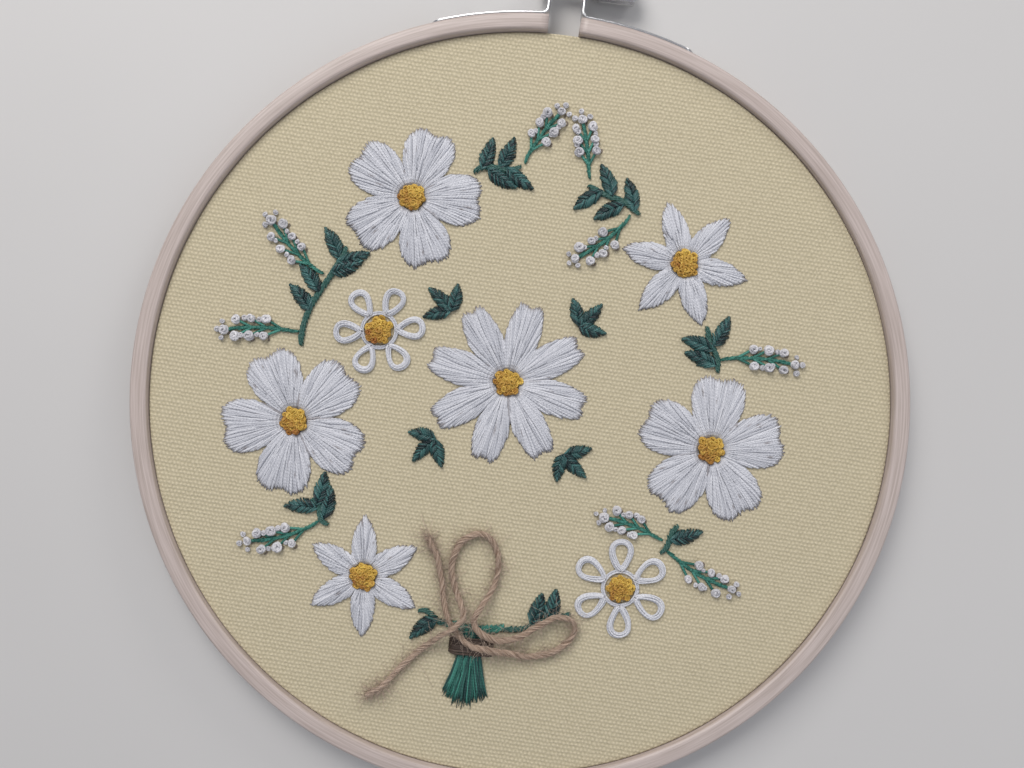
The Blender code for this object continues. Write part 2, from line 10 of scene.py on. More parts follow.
import bpy
import numpy as np
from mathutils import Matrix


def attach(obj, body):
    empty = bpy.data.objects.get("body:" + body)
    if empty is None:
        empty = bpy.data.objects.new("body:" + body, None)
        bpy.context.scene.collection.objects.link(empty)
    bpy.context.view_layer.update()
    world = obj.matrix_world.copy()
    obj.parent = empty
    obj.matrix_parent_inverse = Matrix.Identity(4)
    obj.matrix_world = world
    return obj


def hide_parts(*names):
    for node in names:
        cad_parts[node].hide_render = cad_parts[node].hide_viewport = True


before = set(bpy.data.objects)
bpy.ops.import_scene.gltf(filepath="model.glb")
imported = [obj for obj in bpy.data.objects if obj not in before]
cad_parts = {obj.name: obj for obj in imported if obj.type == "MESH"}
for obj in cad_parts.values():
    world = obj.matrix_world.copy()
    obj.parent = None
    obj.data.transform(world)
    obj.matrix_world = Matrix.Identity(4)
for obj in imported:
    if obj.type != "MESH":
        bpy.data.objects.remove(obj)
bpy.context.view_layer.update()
MM = 0.001
CENTRE_Y = -7.5
CENTRE_Y = -7.5  # of the hoop, in the part's own frame
rng = np.random.default_rng(20)

# %% [markdown]
# ## Camera and light
#
# The photo looks straight down on the hoop, which is turned a little clockwise in it. A
# camera above, turned the other way, sees the same. One wide soft light from the far left
# acts as a window, a weaker one fills the shadows, and a small lamp from the far right
# gives the steel strap its highlight. A sun lamp would be simpler, but it would draw hard
# shadows under every stitch, which the photo doesn't have.

# %% Camera
CLOTH_TOP = 8.0


def look_from_above(x, y, distance, lens, turn):
    """Camera straight above (x, y) at that distance over the cloth, turned about Z."""
    data = bpy.data.cameras.new("camera")
    data.lens = lens
    data.sensor_width = 36.0
    data.clip_start = 0.01
    data.dof.use_dof = False
    camera = bpy.data.objects.new("camera", data)
    camera.location = (x * MM, (y + CENTRE_Y) * MM, (CLOTH_TOP + distance) * MM)
    camera.rotation_euler = (0.0, 0.0, math.radians(turn))
    bpy.context.scene.collection.objects.link(camera)
    bpy.context.scene.camera = camera
    print("camera at", [round(v, 4) for v in camera.location])


look_from_above(-2.7, 4.8, distance=238.0, lens=31.0, turn=6.7)


# %% Light
def soft_light(name, place, aim, size, watts, colour):
    """Square area light at a place, turned to shine at a point."""
    data = bpy.data.lights.new(name, "AREA")
    data.size = size
    data.energy = watts
    data.color = colour
    lamp = bpy.data.objects.new(name, data)
    lamp.location = place
    away = np.array(place) - np.array(aim)
    flat = math.hypot(away[0], away[1])
    lamp.rotation_euler = (math.atan2(flat, away[2]), 0.0, math.atan2(away[0], -away[1]))
    bpy.context.scene.collection.objects.link(lamp)
    print(f"{name}: {watts} W from {place}")


soft_light("window", (-0.35, 0.65, 0.75), (0.0, 0.0, 0.0), 0.6, 8.6, (1.0, 0.97, 0.94))
soft_light("fill", (0.6, -0.4, 0.8), (0.0, 0.0, 0.0), 0.9, 2.2, (0.96, 0.97, 1.0))
soft_light("lamp", (0.5, 0.75, 0.45), (0.0, 0.1, 0.0), 0.25, 1.4, (1.0, 0.98, 0.95))
world = bpy.data.worlds.new("room")
world.use_nodes = True
sky = world.node_tree.nodes["Background"].inputs
sky["Color"].default_value = (0.9, 0.92, 1.0, 1.0)
sky["Strength"].default_value = 0.35
bpy.context.scene.world = world
bpy.context.scene.view_settings.view_transform = "Standard"

# %% [markdown]
# ## Mesh helpers
#
# Nearly everything here is a thread, so one helper turns many centre lines into closed
# tubes at once. Its points are the line's point plus a flattened circle that stands square
# to the line. A second helper carries a closed section through many places, for rings,
# straps and screws.

# %% Mesh from arrays
def mesh_object(name, points, faces, uvs=None, **values):
    """Object from points in mm. faces are integer arrays, one row of corners a face.

    uvs are as many arrays, two numbers a corner. values are numbers kept for each point.
    """
    mesh = bpy.data.meshes.new(name)
    corners = np.concatenate([rows.ravel() for rows in faces])
    sizes = np.concatenate([np.full(len(rows), rows.shape[1]) for rows in faces])
    mesh.vertices.add(len(points))
    placed = (points + np.array((0.0, CENTRE_Y, 0.0))) * MM
    mesh.vertices.foreach_set("co", placed.ravel())
    mesh.loops.add(len(corners))
    mesh.loops.foreach_set("vertex_index", corners.astype(np.int32))
    mesh.polygons.add(len(sizes))
    starts = np.concatenate(([0], np.cumsum(sizes)[:-1])).astype(np.int32)
    mesh.polygons.foreach_set("loop_start", starts)
    if uvs is not None:
        layer = mesh.uv_layers.new(name="thread")
        layer.data.foreach_set("uv", np.concatenate([u.reshape(-1) for u in uvs]))
    for key, numbers in values.items():
        kept = mesh.attributes.new(key, "FLOAT", "POINT")
        kept.data.foreach_set("value", np.asarray(numbers, dtype=np.float32).ravel())
    mesh.update(calc_edges=True)
    mesh.validate()
    mesh.shade_smooth()
    made = bpy.data.objects.new(name, mesh)
    bpy.context.scene.collection.objects.link(made)
    return made


# %% Lengths and directions
def unit(vectors):
    """Vectors scaled to length one along the last axis."""
    return vectors / np.maximum(np.linalg.norm(vectors, axis=-1, keepdims=True), 1e-9)


def run_along(lines):
    """Length from a line's start to each of its points: the sum of its steps' lengths."""
    far = np.linalg.norm(np.diff(lines, axis=-2), axis=-1).cumsum(-1)
    return np.concatenate((np.zeros_like(far[..., :1]), far), axis=-1)


def read_at(wanted, run, line):
    """Points of a line at other run lengths, on the straight between its own points."""
    return np.stack([np.interp(wanted, run, numbers) for numbers in line.T], -1)


def leftwards(flat):
    """Flat directions turned a quarter to the left: (x, y) becomes (-y, x)."""
    return np.stack((-flat[..., 1], flat[..., 0]), -1)


def circle(turn):
    """Flat directions at angles in radians: (cos(turn), sin(turn))."""
    return np.stack((np.cos(turn), np.sin(turn)), -1)


# %% Tubes
def tube_parts(lines, half_width, half_height, sides=6, across=None, shade=None, ink=0.0):
    """Closed tubes along lines (count, steps, 3), as a dictionary of arrays.

    A point is the line's point + across * width * cos(turn) + up * height * sin(turn).
    """
    lines = np.asarray(lines, dtype=float)
    count, steps, _ = lines.shape
    along = unit(np.gradient(lines, axis=1))
    if across is None:
        across = unit(np.cross((0.0, 0.0, 1.0), along))
    across = np.broadcast_to(across, along.shape)
    up = unit(np.cross(along, across))
    turn = 2 * np.pi * np.arange(sides) / sides
    wide, tall = (np.broadcast_to(half, (count, steps))[:, :, None, None]
                  for half in (half_width, half_height))
    points = (lines[:, :, None]
              + across[:, :, None] * wide * np.cos(turn)[:, None]
              + up[:, :, None] * tall * np.sin(turn)[:, None])
    index = np.arange(count * steps * sides).reshape(count, steps, sides)
    run = np.broadcast_to(run_along(lines)[:, :, None], index.shape)
    part = np.broadcast_to(np.arange(sides) / sides, index.shape)

    def quads(own, following):
        """Four corners a quad, from the numbers of a point and of the next one round."""
        return np.stack((own[:, :-1], following[:, :-1], following[:, 1:], own[:, 1:]), -1)

    def caps(own):
        return np.concatenate((own[:, 0, ::-1], own[:, -1]))

    def each_point(values):
        values = np.asarray(values, dtype=float)
        values = values[:, None] if values.ndim == 1 else values
        return np.repeat(np.broadcast_to(values, (count, steps)).ravel(), sides)

    return {
        "points": points.reshape(-1, 3),
        "quads": quads(index, np.roll(index, -1, axis=2)).reshape(-1, 4),
        "caps": caps(index),
        "quad_uv": np.stack((quads(run, run), quads(part, part + 1 / sides)),
                            axis=-1).reshape(-1, 4, 2),
        "cap_uv": np.stack((caps(run), caps(part)), axis=-1),
        "shade": each_point(rng.random(count) if shade is None else shade),
        "ink": each_point(ink),
    }


def joined(name, parts):
    """One object from several tube parts, with their shade and ink values."""
    starts = np.cumsum([0] + [len(p["points"]) for p in parts])
    faces = [p[key] + s for key in ("quads", "caps") for p, s in zip(parts, starts)]
    uvs = [p[key] for key in ("quad_uv", "cap_uv") for p in parts]
    points, shade, ink = (np.concatenate([p[key] for p in parts])
                          for key in ("points", "shade", "ink"))
    return mesh_object(name, points, faces, uvs, shade=shade, ink=ink)


# %% Carried sections
def carried(loops, closed, shade=0.5):
    """Parts from loops (count, corners, 3): quads between them, ends capped unless closed.

    Loops turn anticlockwise as seen from the following loop's side.
    """
    count, corners, _ = loops.shape
    index = np.arange(count * corners).reshape(count, corners)
    first = index if closed else index[:-1]
    second = np.roll(index, -1, axis=0) if closed else index[1:]
    quads = np.stack((first, np.roll(first, -1, axis=1), np.roll(second, -1, axis=1), second),
                     axis=-1).reshape(-1, 4)
    ends = index[:0] if closed else np.stack((index[0, ::-1], index[-1]))
    return {
        "points": loops.reshape(-1, 3),
        "quads": quads,
        "caps": ends,
        "quad_uv": np.zeros((len(quads), 4, 2)),
        "cap_uv": np.zeros((*ends.shape, 2)),
        "shade": np.full(count * corners, shade),
        "ink": np.zeros(count * corners),
    }


def rounded_section(inside, outside, low, high, rounding, steps=4):
    """Section of a ring in (radius, height), anticlockwise, its corners rounded."""
    corners = ((outside, high), (inside, high), (inside, low), (outside, low))
    inwards = ((-1, -1), (1, -1), (1, 1), (-1, 1))
    quarter = np.linspace(0, np.pi / 2, steps + 1)
    return np.concatenate([
        np.array(corner) + rounding * (np.array(inward) + circle(quarter + k * np.pi / 2))
        for k, (corner, inward) in enumerate(zip(corners, inwards))])


def around_z(section, turns):
    """The section carried round the hoop's axis through turns, given in radians."""
    flat = section[None, :, :1] * circle(turns)[:, None]
    high = np.broadcast_to(section[None, :, 1:], (*flat.shape[:2], 1))
    return np.concatenate((flat, high), axis=-1)


# %% [markdown]
# ## Shared looks
#
# Three node groups carry the looks that repeat, and each material gives them its own
# numbers. Thread lines follow a strand's own length and turn, so they lie along it as spun
# fibres do. The weave is a chequer of small beads. The grain of the rings is noise
# stretched around the hoop. It is read from the sine and cosine of the angle, so it has no
# seam where the circle closes. Pictures of thread would be simpler, but they blur up close
# and would have to be laid on each strand.

# %% Group tools
class Graph:
    """Small helper to write a node tree line by line."""

    def __init__(self, tree):
        self.tree = tree

    def node(self, kind, **settings):
        made = self.tree.nodes.new(kind)
        for key, value in settings.items():
            setattr(made, key, value)
        return made

    def put(self, socket, value):
        if isinstance(value, bpy.types.NodeSocket):
            self.tree.links.new(value, socket)
        else:
            socket.default_value = value

    def filled(self, made, *values):
        """Puts values into a node's first inputs, in order, and returns its outputs."""
        for socket, value in zip(made.inputs, values):
            self.put(socket, value)
        return made.outputs

    def math(self, operation, *values):
        return self.filled(self.node("ShaderNodeMath", operation=operation), *values)[0]

    def times(self, first, second):
        return self.math("MULTIPLY", first, second)

    def plus(self, first, second):
        return self.math("ADD", first, second)

    def vector(self, x, y, z):
        return self.filled(self.node("ShaderNodeCombineXYZ"), x, y, z)[0]

    def split(self, vector):
        return self.filled(self.node("ShaderNodeSeparateXYZ"), vector)

    def range(self, value, low, high):
        return self.filled(self.node("ShaderNodeMapRange"), value, low, high, 0.0, 1.0)[0]

    def place(self):
        return self.node("ShaderNodeTexCoord").outputs["Object"]

    def point_value(self, name):
        return self.node("ShaderNodeAttribute", attribute_name=name).outputs["Fac"]

    def mapped(self, vector, key, value):
        made = self.node("ShaderNodeMapping")
        self.put(made.inputs["Vector"], vector)
        self.put(made.inputs[key], value)
        return made.outputs[0]

    def noise(self, vector, scale, detail=2.0, roughness=0.5, **fourth):
        """Noise at a vector, and also at a fourth number where W is given."""
        made = self.node("ShaderNodeTexNoise", noise_dimensions="4D" if fourth else "3D")
        sockets = {"Vector": vector, "Scale": scale, "Detail": detail,
                   "Roughness": roughness, **fourth}
        for key, value in sockets.items():
            self.put(made.inputs[key], value)
        return made.outputs["Fac"]

    def mix(self, part, first, second):
        """Between two colours, at a part from 0 to 1."""
        made = self.node("ShaderNodeMix", data_type="RGBA")
        for number, value in ((0, part), (6, first), (7, second)):
            self.put(made.inputs[number], value)
        return made.outputs[2]


def new_group(name, **inputs):
    """Node group with named number inputs, and outputs Height and Shade.

    Returns the group, its graph and the input sockets.
    """
    group = bpy.data.node_groups.new(name, "ShaderNodeTree")
    for key, value in inputs.items():
        made = group.interface.new_socket(key, in_out="INPUT", socket_type="NodeSocketFloat")
        made.default_value = value
    for key in ("Height", "Shade"):
        group.interface.new_socket(key, in_out="OUTPUT", socket_type="NodeSocketFloat")
    graph = Graph(group)
    return group, graph, graph.node("NodeGroupInput").outputs


# %% Thread lines
def make_spun_group():
    """Height and shade of spun fibres along a strand.

    The ridges are sin(2 pi (length / Twist + 2 turns round)). The hairs are noise
    stretched along the strand, and start elsewhere on each strand. A tenth of the ridges
    goes into the shade as painted shade: darker in the grooves, lighter on the crests.
    """
    group, g, given = new_group("spun_thread", Twist=0.9, Ridge=0.35)
    length, around, _ = g.split(g.node("ShaderNodeUVMap", uv_map="thread").outputs[0])
    turns = g.plus(g.math("DIVIDE", length, given["Twist"]), g.times(around, 2.0))
    ridge = g.math("SINE", g.times(turns, 2 * math.pi))
    angle = g.times(around, 2 * math.pi)
    lying = g.vector(g.times(length, 0.9), g.times(g.math("COSINE", angle), 2.2),
                     g.times(g.math("SINE", angle), 2.2))
    hairs = g.noise(lying, 1.6, 3.0, 0.65, W=g.times(g.point_value("shade"), 70.0))
    # Shade: painted shade from the ridges, plus the hairs' own tone.
    g.filled(g.node("NodeGroupOutput"), g.plus(g.times(ridge, given["Ridge"]), hairs),
             g.plus(g.times(ridge, 0.10), hairs))
    return group


# %% Weave
def make_weave_group(pitch=1.09, turn=2.6):
    """Height and shade of staggered beads, with slubs and fibres.

    The beads are 0.26 cos(2 pi s) cos(pi t) + 0.19 cos(2 pi t), s and t in pitches.
    The same beads go into the shade, so the gaps between them hold painted shade and
    their tops painted light; the slubs add the yarn's own tone.
    """
    group, g, given = new_group("plain_weave", Roughness=0.7)
    spot = g.mapped(g.place(), "Rotation", (0.0, 0.0, math.radians(turn)))
    x, y, _ = g.split(spot)
    s, t = (g.times(g.plus(axis, g.times(g.noise(spot, scale), 0.0007)),
                    2 * math.pi / (pitch * MM)) for axis, scale in ((x, 330.0), (y, 390.0)))
    beads = g.times(g.math("COSINE", s), g.math("COSINE", g.times(t, 0.5)))
    woven = g.plus(g.times(beads, 0.26), g.times(g.math("COSINE", t), 0.19))
    slubs = g.noise(spot, 1700.0, 3.0, 0.65)
    fibres = g.noise(g.mapped(spot, "Scale", (0.3, 1.0, 1.0)), 7000.0, 2.0, 0.6)
    rough = g.plus(g.times(slubs, given["Roughness"]), g.times(fibres, 0.35))
    # Shade: the beads' height as painted shade in the gaps and painted light on the tops, plus
    # the slubs' own tone.
    g.filled(g.node("NodeGroupOutput"), g.plus(woven, rough), g.plus(woven, slubs))
    return group


# %% Ring grain
def make_grain_group():
    """Shade of wood grain bent round the hoop, from the angle's sine and cosine."""
    group, g, given = new_group("ring_grain", Pores=0.6)
    x, far, z = g.split(g.place())
    y = g.math("SUBTRACT", far, CENTRE_Y * MM)
    radius = g.math("SQRT", g.plus(g.times(x, x), g.times(y, y)))
    bent = g.vector(g.math("DIVIDE", g.times(x, 5.0), radius),
                    g.math("DIVIDE", g.times(y, 5.0), radius), g.times(radius, 2300.0))
    up = g.times(z, 1400.0)
    streaks = g.noise(bent, 1.0, 4.0, 0.6, W=up)
    pores = g.noise(bent, 3.3, 2.0, 0.7, W=up)
    g.filled(g.node("NodeGroupOutput"), g.plus(streaks, g.times(pores, given["Pores"])),
             streaks)
    return group


SPUN = make_spun_group()
WEAVE = make_weave_group()
GRAIN = make_grain_group()
print("node groups:", [group.name for group in (SPUN, WEAVE, GRAIN)])

# %% [markdown]
# ## Materials
#
# A thread's colour runs between a dark and a light tone by its own random shade and its
# fibres, and a little by its twist ridges, which is painted shade in the grooves. Ink
# marks, kept as a number on the points, mix in a second tone, such as the orange side of
# a flower's middle or the pen at a petal's tip; along a petal's sides that tone is pen and
# painted shade together. Cotton floss has a soft sheen and no mirror shine. One flat colour
# a thread would be simpler, but then a row of strands looks like one sheet.

# %% Surface maker
def surface(name, group, settings, tones, roughness, bump, reach, shades=(0.15, 0.95),
            **constants):
    """Material from a group's height and shade, and the points' shade and ink values.

    settings are the group's own inputs here. tones are the dark and the light colour, and
    the ink colour of a thread. shades are the shade values at which the dark and the light
    tone are full. bump is its strength and reach its depth.
    """
    material = bpy.data.materials.new(name)
    material.use_nodes = True
    g = Graph(material.node_tree)
    shader = material.node_tree.nodes["Principled BSDF"]
    look = g.node("ShaderNodeGroup", node_tree=group)
    for key, value in settings.items():
        look.inputs[key].default_value = value
    dark, light, *ink = [(*tone, 1.0) for tone in tones]
    shade = look.outputs["Shade"]
    if ink:
        shade = g.plus(g.times(g.point_value("shade"), 0.55), g.times(shade, 0.5))
    colour = g.mix(g.range(shade, *shades), dark, light)
    if ink:
        colour = g.mix(g.point_value("ink"), colour, ink[0])
    raised = g.node("ShaderNodeBump")
    for socket, value in ((raised.inputs["Strength"], bump),
                          (raised.inputs["Distance"], reach),
                          (raised.inputs["Height"], look.outputs["Height"]),
                          (shader.inputs["Base Color"], colour),
                          (shader.inputs["Roughness"], roughness),
                          (shader.inputs["Normal"], raised.outputs[0])):
        g.put(socket, value)
    for key, value in constants.items():
        shader.inputs[key.replace("_", " ")].default_value = value
    return material


WHITE = surface("white_floss", SPUN, {"Twist": 0.9, "Ridge": 0.35},
                ((0.44, 0.452, 0.50), (0.72, 0.728, 0.775), (0.13, 0.095, 0.09)),
                0.65, 0.75, 0.00014, Sheen_Weight=0.1)
IVORY = surface("ivory_floss", SPUN, {"Twist": 0.8, "Ridge": 0.35},
                ((0.46, 0.455, 0.48), (0.76, 0.75, 0.78), (0.2, 0.14, 0.09)),
                0.65, 0.8, 0.00014, Sheen_Weight=0.1)
EMERALD = surface("emerald_floss", SPUN, {"Twist": 0.8, "Ridge": 0.4},
                  ((0.012, 0.105, 0.080), (0.070, 0.290, 0.230), (0.016, 0.055, 0.055)),
                  0.5, 0.8, 0.00014, (0.25, 0.85))
LEAF = surface("leaf_floss", SPUN, {"Twist": 0.9, "Ridge": 0.35},
               ((0.002, 0.011, 0.015), (0.058, 0.172, 0.165), (0.04, 0.12, 0.10)),
               0.38, 0.8, 0.00015, (0.28, 0.88))
YELLOW = surface("yellow_floss", SPUN, {"Twist": 0.7, "Ridge": 0.35},
                 ((0.43, 0.235, 0.033), (0.86, 0.60, 0.118), (0.34, 0.125, 0.024)),
                 0.55, 0.9, 0.00015)
BROWN = surface("brown_floss", SPUN, {"Twist": 0.9, "Ridge": 0.45},
                ((0.045, 0.028, 0.020), (0.125, 0.088, 0.070), (0.02, 0.01, 0.01)),
                0.65, 0.5, 0.00012)
JUTE = surface("jute_twine", SPUN, {"Twist": 1.6, "Ridge": 0.2},
               ((0.23, 0.155, 0.11), (0.46, 0.34, 0.255), (0.54, 0.42, 0.335)),
               0.85, 0.6, 0.00015)
CLOTH = surface("woven_cotton", WEAVE, {"Roughness": 0.7},
                ((0.415, 0.362, 0.238), (0.64, 0.567, 0.405)),
                0.9, 0.7, 0.0003, (0.05, 0.95), Sheen_Weight=0.1)
WOOD = surface("pale_wood", GRAIN, {"Pores": 0.6},
               ((0.37, 0.305, 0.272), (0.535, 0.457, 0.428)),
               0.42, 0.3, 0.00008, (0.3, 0.62))
STEEL = surface("bright_steel", GRAIN, {"Pores": 0.3},
                ((0.55, 0.55, 0.56), (0.66, 0.66, 0.67)),
                0.26, 0.05, 0.00005, (0.25, 0.75), Metallic=1.0)
print("materials:", [material.name for material in bpy.data.materials])


# %% Finished pieces
def piece(name, parts, material, slot, *nodes):
    """One object from several parts, with its material and its place in the frame.

    It moves with the root and stands in for the nodes. Its slot is not used.
    """
    made = joined(name, parts)
    made.data.materials.append(material)
    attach(made, "root")
    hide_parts(*nodes)
    triangles = sum(len(face.vertices) - 2 for face in made.data.polygons)
    print(f"{made.name}: {triangles} triangles")
    return made


# %% [markdown]
# ## Twine tie
#
# The twine is the one free cord. Its route was read from the photo: a tail from the lower
# left, up and round the tall loop, through the knot, round the side loop, back under, and
# out upwards. Soft jute fibres turn slowly around that line, and loose hairs stand off it.
# A drawn spline with a round bevel would look like plastic.

# %% Twine route
TWINE_ROUTE = np.array((
    (-31.9, -82.6, 1.5), (-27.9, -79.7, 1.4), (-23.3, -73.8, 1.4), (-18.4, -68.4, 1.5),
    (-14.0, -64.2, 3.4), (-10.8, -61.3, 5.4), (-8.3, -58.2, 5.0), (-9.5, -54.8, 3.2),
    (-11.6, -51.0, 1.6), (-12.9, -46.8, 1.4), (-12.8, -42.6, 1.4), (-10.9, -38.6, 1.4),
    (-7.2, -36.2, 1.4), (-3.4, -37.3, 1.4), (-1.3, -40.8, 1.4), (-0.6, -45.4, 1.4),
    (-1.4, -50.2, 1.6), (-3.4, -54.2, 3.0), (-5.2, -57.6, 3.6), (-4.9, -60.6, 3.8),
    (-1.9, -62.7, 3.8), (2.2, -63.6, 2.8), (6.6, -62.4, 2.6), (11.4, -58.9, 2.6),
    (16.0, -55.9, 2.6), (20.2, -56.0, 2.6), (21.7, -58.9, 1.6), (19.8, -62.7, 1.4),
    (15.4, -65.9, 1.4), (9.6, -67.4, 1.4), (4.2, -66.8, 2.6), (-1.0, -66.3, 3.8),
    (-5.9, -65.5, 3.8), (-10.0, -62.6, 3.0), (-12.9, -58.2, 2.6), (-14.4, -53.6, 1.6),
    (-15.6, -48.6, 1.4), (-17.4, -43.4, 1.4), (-20.4, -38.5, 1.5),
))
TWINE_STEP = 0.8


def smooth_route(route, step):
    """Evenly spaced points on the Catmull-Rom curve through the route's points.

    Each stretch from b to c is half of 2b + (c-a)t + (2a-5b+4c-d)tt + (d-a+3b-3c)ttt.
    """
    ends = np.concatenate((route[:1], route, route[-1:]))
    a, b, c, d = (ends[k:k + len(route) - 1, None] for k in range(4))
    t = (np.arange(20) / 20)[None, :, None]
    dense = 0.5 * (2 * b + (c - a) * t + (2 * a - 5 * b + 4 * c - d) * t ** 2
                   + (3 * b - a - 3 * c + d) * t ** 3)
    dense = np.concatenate((dense.reshape(-1, 3), route[-1:]))
    run = run_along(dense)
    wanted = np.linspace(0, run[-1], int(run[-1] / step) + 1)
    return read_at(wanted, run, dense), wanted


def beside(line, out, over):
    """The line moved by out along its level side and by over square to that side."""
    along = unit(np.gradient(line, axis=-2))
    across = unit(np.cross((0.0, 0.0, 1.0), along))
    up = np.cross(along, across)
    return line + across * np.asarray(out)[..., None] + up * np.asarray(over)[..., None]


twine_line, run = smooth_route(TWINE_ROUTE + (0.0, 0.0, CLOTH_TOP), TWINE_STEP)
twine_length = run[-1]
print("twine length in mm:", round(float(twine_length), 1))

# %% Twine fibres
FIBRES = 34
FIBRE_LAY = 7.5  # mm of twine for one turn of its fibres


def wander(slow, size):
    """Slow random waves along the twine, one row a fibre: size * (sin(a) + 0.6 sin(b))."""
    start = rng.uniform(0, 2 * np.pi, (2, FIBRES, 1))
    pace = slow * rng.uniform(0.7, 1.4, (2, FIBRES, 1))
    return size * (np.sin(run / pace[0] + start[0])
                   + 0.6 * np.sin(run / pace[1] * 2.3 + start[1]))


thickness = 0.80 + 0.10 * np.sin(run / 7.0) + 0.05 * np.sin(run / 2.9 + 1.0)
thickness = thickness * np.interp(run, (0, 14, 34, twine_length - 12, twine_length),
                                  (0.72, 0.86, 1.0, 1.0, 0.85))
away = 0.92 * np.sqrt(np.linspace(0.12, 1.0, FIBRES))[:, None] + wander(3.0, 0.05)
angle = (2 * np.pi * run / FIBRE_LAY + rng.uniform(0, 2 * np.pi, (FIBRES, 1))
         + wander(4.5, 0.28))
away = away * thickness
fibres = beside(np.broadcast_to(twine_line, (FIBRES, *twine_line.shape)),
                away * np.cos(angle), away * np.sin(angle))
thin = rng.uniform(0.13, 0.22, (FIBRES, 1))
# The core takes the darkest jute tone; it shows only between the fibres, as painted shade.
shaded_core = tube_parts(twine_line[None], 0.7 * thickness, 0.7 * thickness, 8, shade=(0.1,))
worn = rng.random((FIBRES, 1)) * 0.6 + 0.4 * np.exp(-run / 16.0)
twine = piece("twine", [shaded_core, tube_parts(fibres, thin, thin, 4, ink=worn)],
              JUTE, "twine", "twine_tie")

# %% [markdown]
# ## Twine hairs
#
# Jute is rough: short hairs stand off it, and both cut ends fray out. Each hair is a thin
# bent tube rooted on the twine's line. Blender's own hair is quicker to comb, but the
# visual model is exported as plain meshes, so the hairs are mesh from the start.

# %% Twine hairs
HAIRS, FIRST_END, LAST_END = 2200, 160, 140
first = slice(0, FIRST_END)
last = slice(FIRST_END, FIRST_END + LAST_END)
final = len(twine_line) - 1
spot = rng.integers(1, final, HAIRS)
spot[first] = rng.integers(1, 8, FIRST_END)
spot[last] = final + 1 - rng.integers(2, 8, LAST_END)
root = twine_line[spot]
forward = unit(twine_line[np.minimum(spot + 1, final)] - twine_line[spot - 1])
forward *= np.where(rng.random((HAIRS, 1)) < 0.5, -1, 1)
forward[first] = -np.abs(forward[first]) * (1, 1, 0)
forward[last] = unit(twine_line[-1] - twine_line[-5])
swing = rng.standard_normal((HAIRS, 3)) * (0.7, 0.7, 0.45)
bend = rng.standard_normal((2, HAIRS, 3)) * (0.9, 0.9, 0.4)
reach = rng.uniform(0.9, 2.5, (HAIRS, 1, 1))
t = np.linspace(0, 1, 7)[None, :, None]
hairs = root[:, None] + reach * (t * (forward + swing)[:, None] * 0.75
                                 + t ** 2 * bend[0][:, None]
                                 + 0.25 * np.sin(4 * t) * bend[1][:, None])
hairs[:, :, 2] = np.maximum(hairs[:, :, 2], CLOTH_TOP + 0.15)
fuzz = piece("twine_hairs", [tube_parts(hairs, 0.04, 0.04, 3, ink=1.0)], JUTE, "twine")

# %% [markdown]
# ## Ground cloth
#
# The cloth is one disc drawn tight over the inner ring, its rim folded down between the
# rings. Near the rim it dips in shallow waves where it was pulled. It is one closed shell:
# a profile from the middle out, down the rim and back underneath, carried once round. A
# cloth simulation is another way, but a drum-tight cloth has hardly a fold to find.

# %% Cloth
CLOTH_RADIUS = 100.2
CLOTH_DEEP = 0.9
CLOTH_LOW = 0.35
RIM_ROUND = 0.6
UNDERSIDE = CLOTH_TOP - CLOTH_DEEP
turns = np.linspace(0, 2 * np.pi, 240, endpoint=False)
top_r = np.concatenate((np.linspace(0.5, 84, 36), np.linspace(86, 98.8, 14)))
rim = np.linspace(0, np.pi / 2, 5)
down = np.array((6.0, 4.0, 2.0, CLOTH_LOW))
outer_r = np.concatenate((top_r, CLOTH_RADIUS - RIM_ROUND * (1 - np.sin(rim)),
                          np.full(4, CLOTH_RADIUS)))
outer_z = np.concatenate((np.full(len(top_r), CLOTH_TOP),
                          CLOTH_TOP - RIM_ROUND * (1 - np.cos(rim)), down))
inner_r = np.concatenate((np.full(4, CLOTH_RADIUS - CLOTH_DEEP), (99.1, 98.7, 98.3),
                          top_r[-4::-1]))
inner_z = np.concatenate((down[::-1], (6.6, 6.9), np.full(len(top_r) - 2, UNDERSIDE)))
profile = np.stack((np.concatenate((outer_r, inner_r)),
                    np.concatenate((outer_z, inner_z))), -1)
shell = around_z(profile, turns)
near_rim = np.exp(-((np.hypot(shell[..., 0], shell[..., 1]) - 95.0) / 5.5) ** 2)
ripple = (np.sin(31 * turns) + 0.6 * np.sin(47 * turns + 1.0)
          + 0.5 * np.sin(18 * turns + 2.0))[:, None]
shell[..., 2] += 0.06 * near_rim * (ripple - 1.2)
loops = np.moveaxis(shell, 0, 1)[::-1]
cloth = piece("cloth", [carried(loops, closed=False)],
              CLOTH, "ground_cloth", "ground_cloth")

# %% [markdown]
# ## Rings
#
# Both rings are rounded sections carried round the hoop's axis. The outer one is open at
# the clamp, so its ends are capped. Turning a section is quicker than bending a bar.

# %% Rings
RING_INSIDE, RING_OUTSIDE, RING_HEIGHT = 100.3, 104.8, 10.0
INNER_INSIDE, INNER_OUTSIDE, INNER_HEIGHT = 94.0, 98.7, 6.7
SPLIT_WIDTH = 8.6
half_gap = SPLIT_WIDTH / (RING_INSIDE + RING_OUTSIDE)
turns = np.linspace(np.pi / 2 + half_gap, 2.5 * np.pi - half_gap, 300)
section = rounded_section(RING_INSIDE, RING_OUTSIDE, 0.0, RING_HEIGHT, 0.9)
piece("outer_hoop", [carried(around_z(section, turns)[:, ::-1], closed=False)],
      WOOD, "hoop_wood", "outer_ring")
turns = np.linspace(0, 2 * np.pi, 300, endpoint=False)
section = rounded_section(INNER_INSIDE, INNER_OUTSIDE, 0.0, INNER_HEIGHT, 0.8)
piece("inner_hoop", [carried(around_z(section, turns)[:, ::-1], closed=True)],
      WOOD, "hoop_wood", "inner_ring")
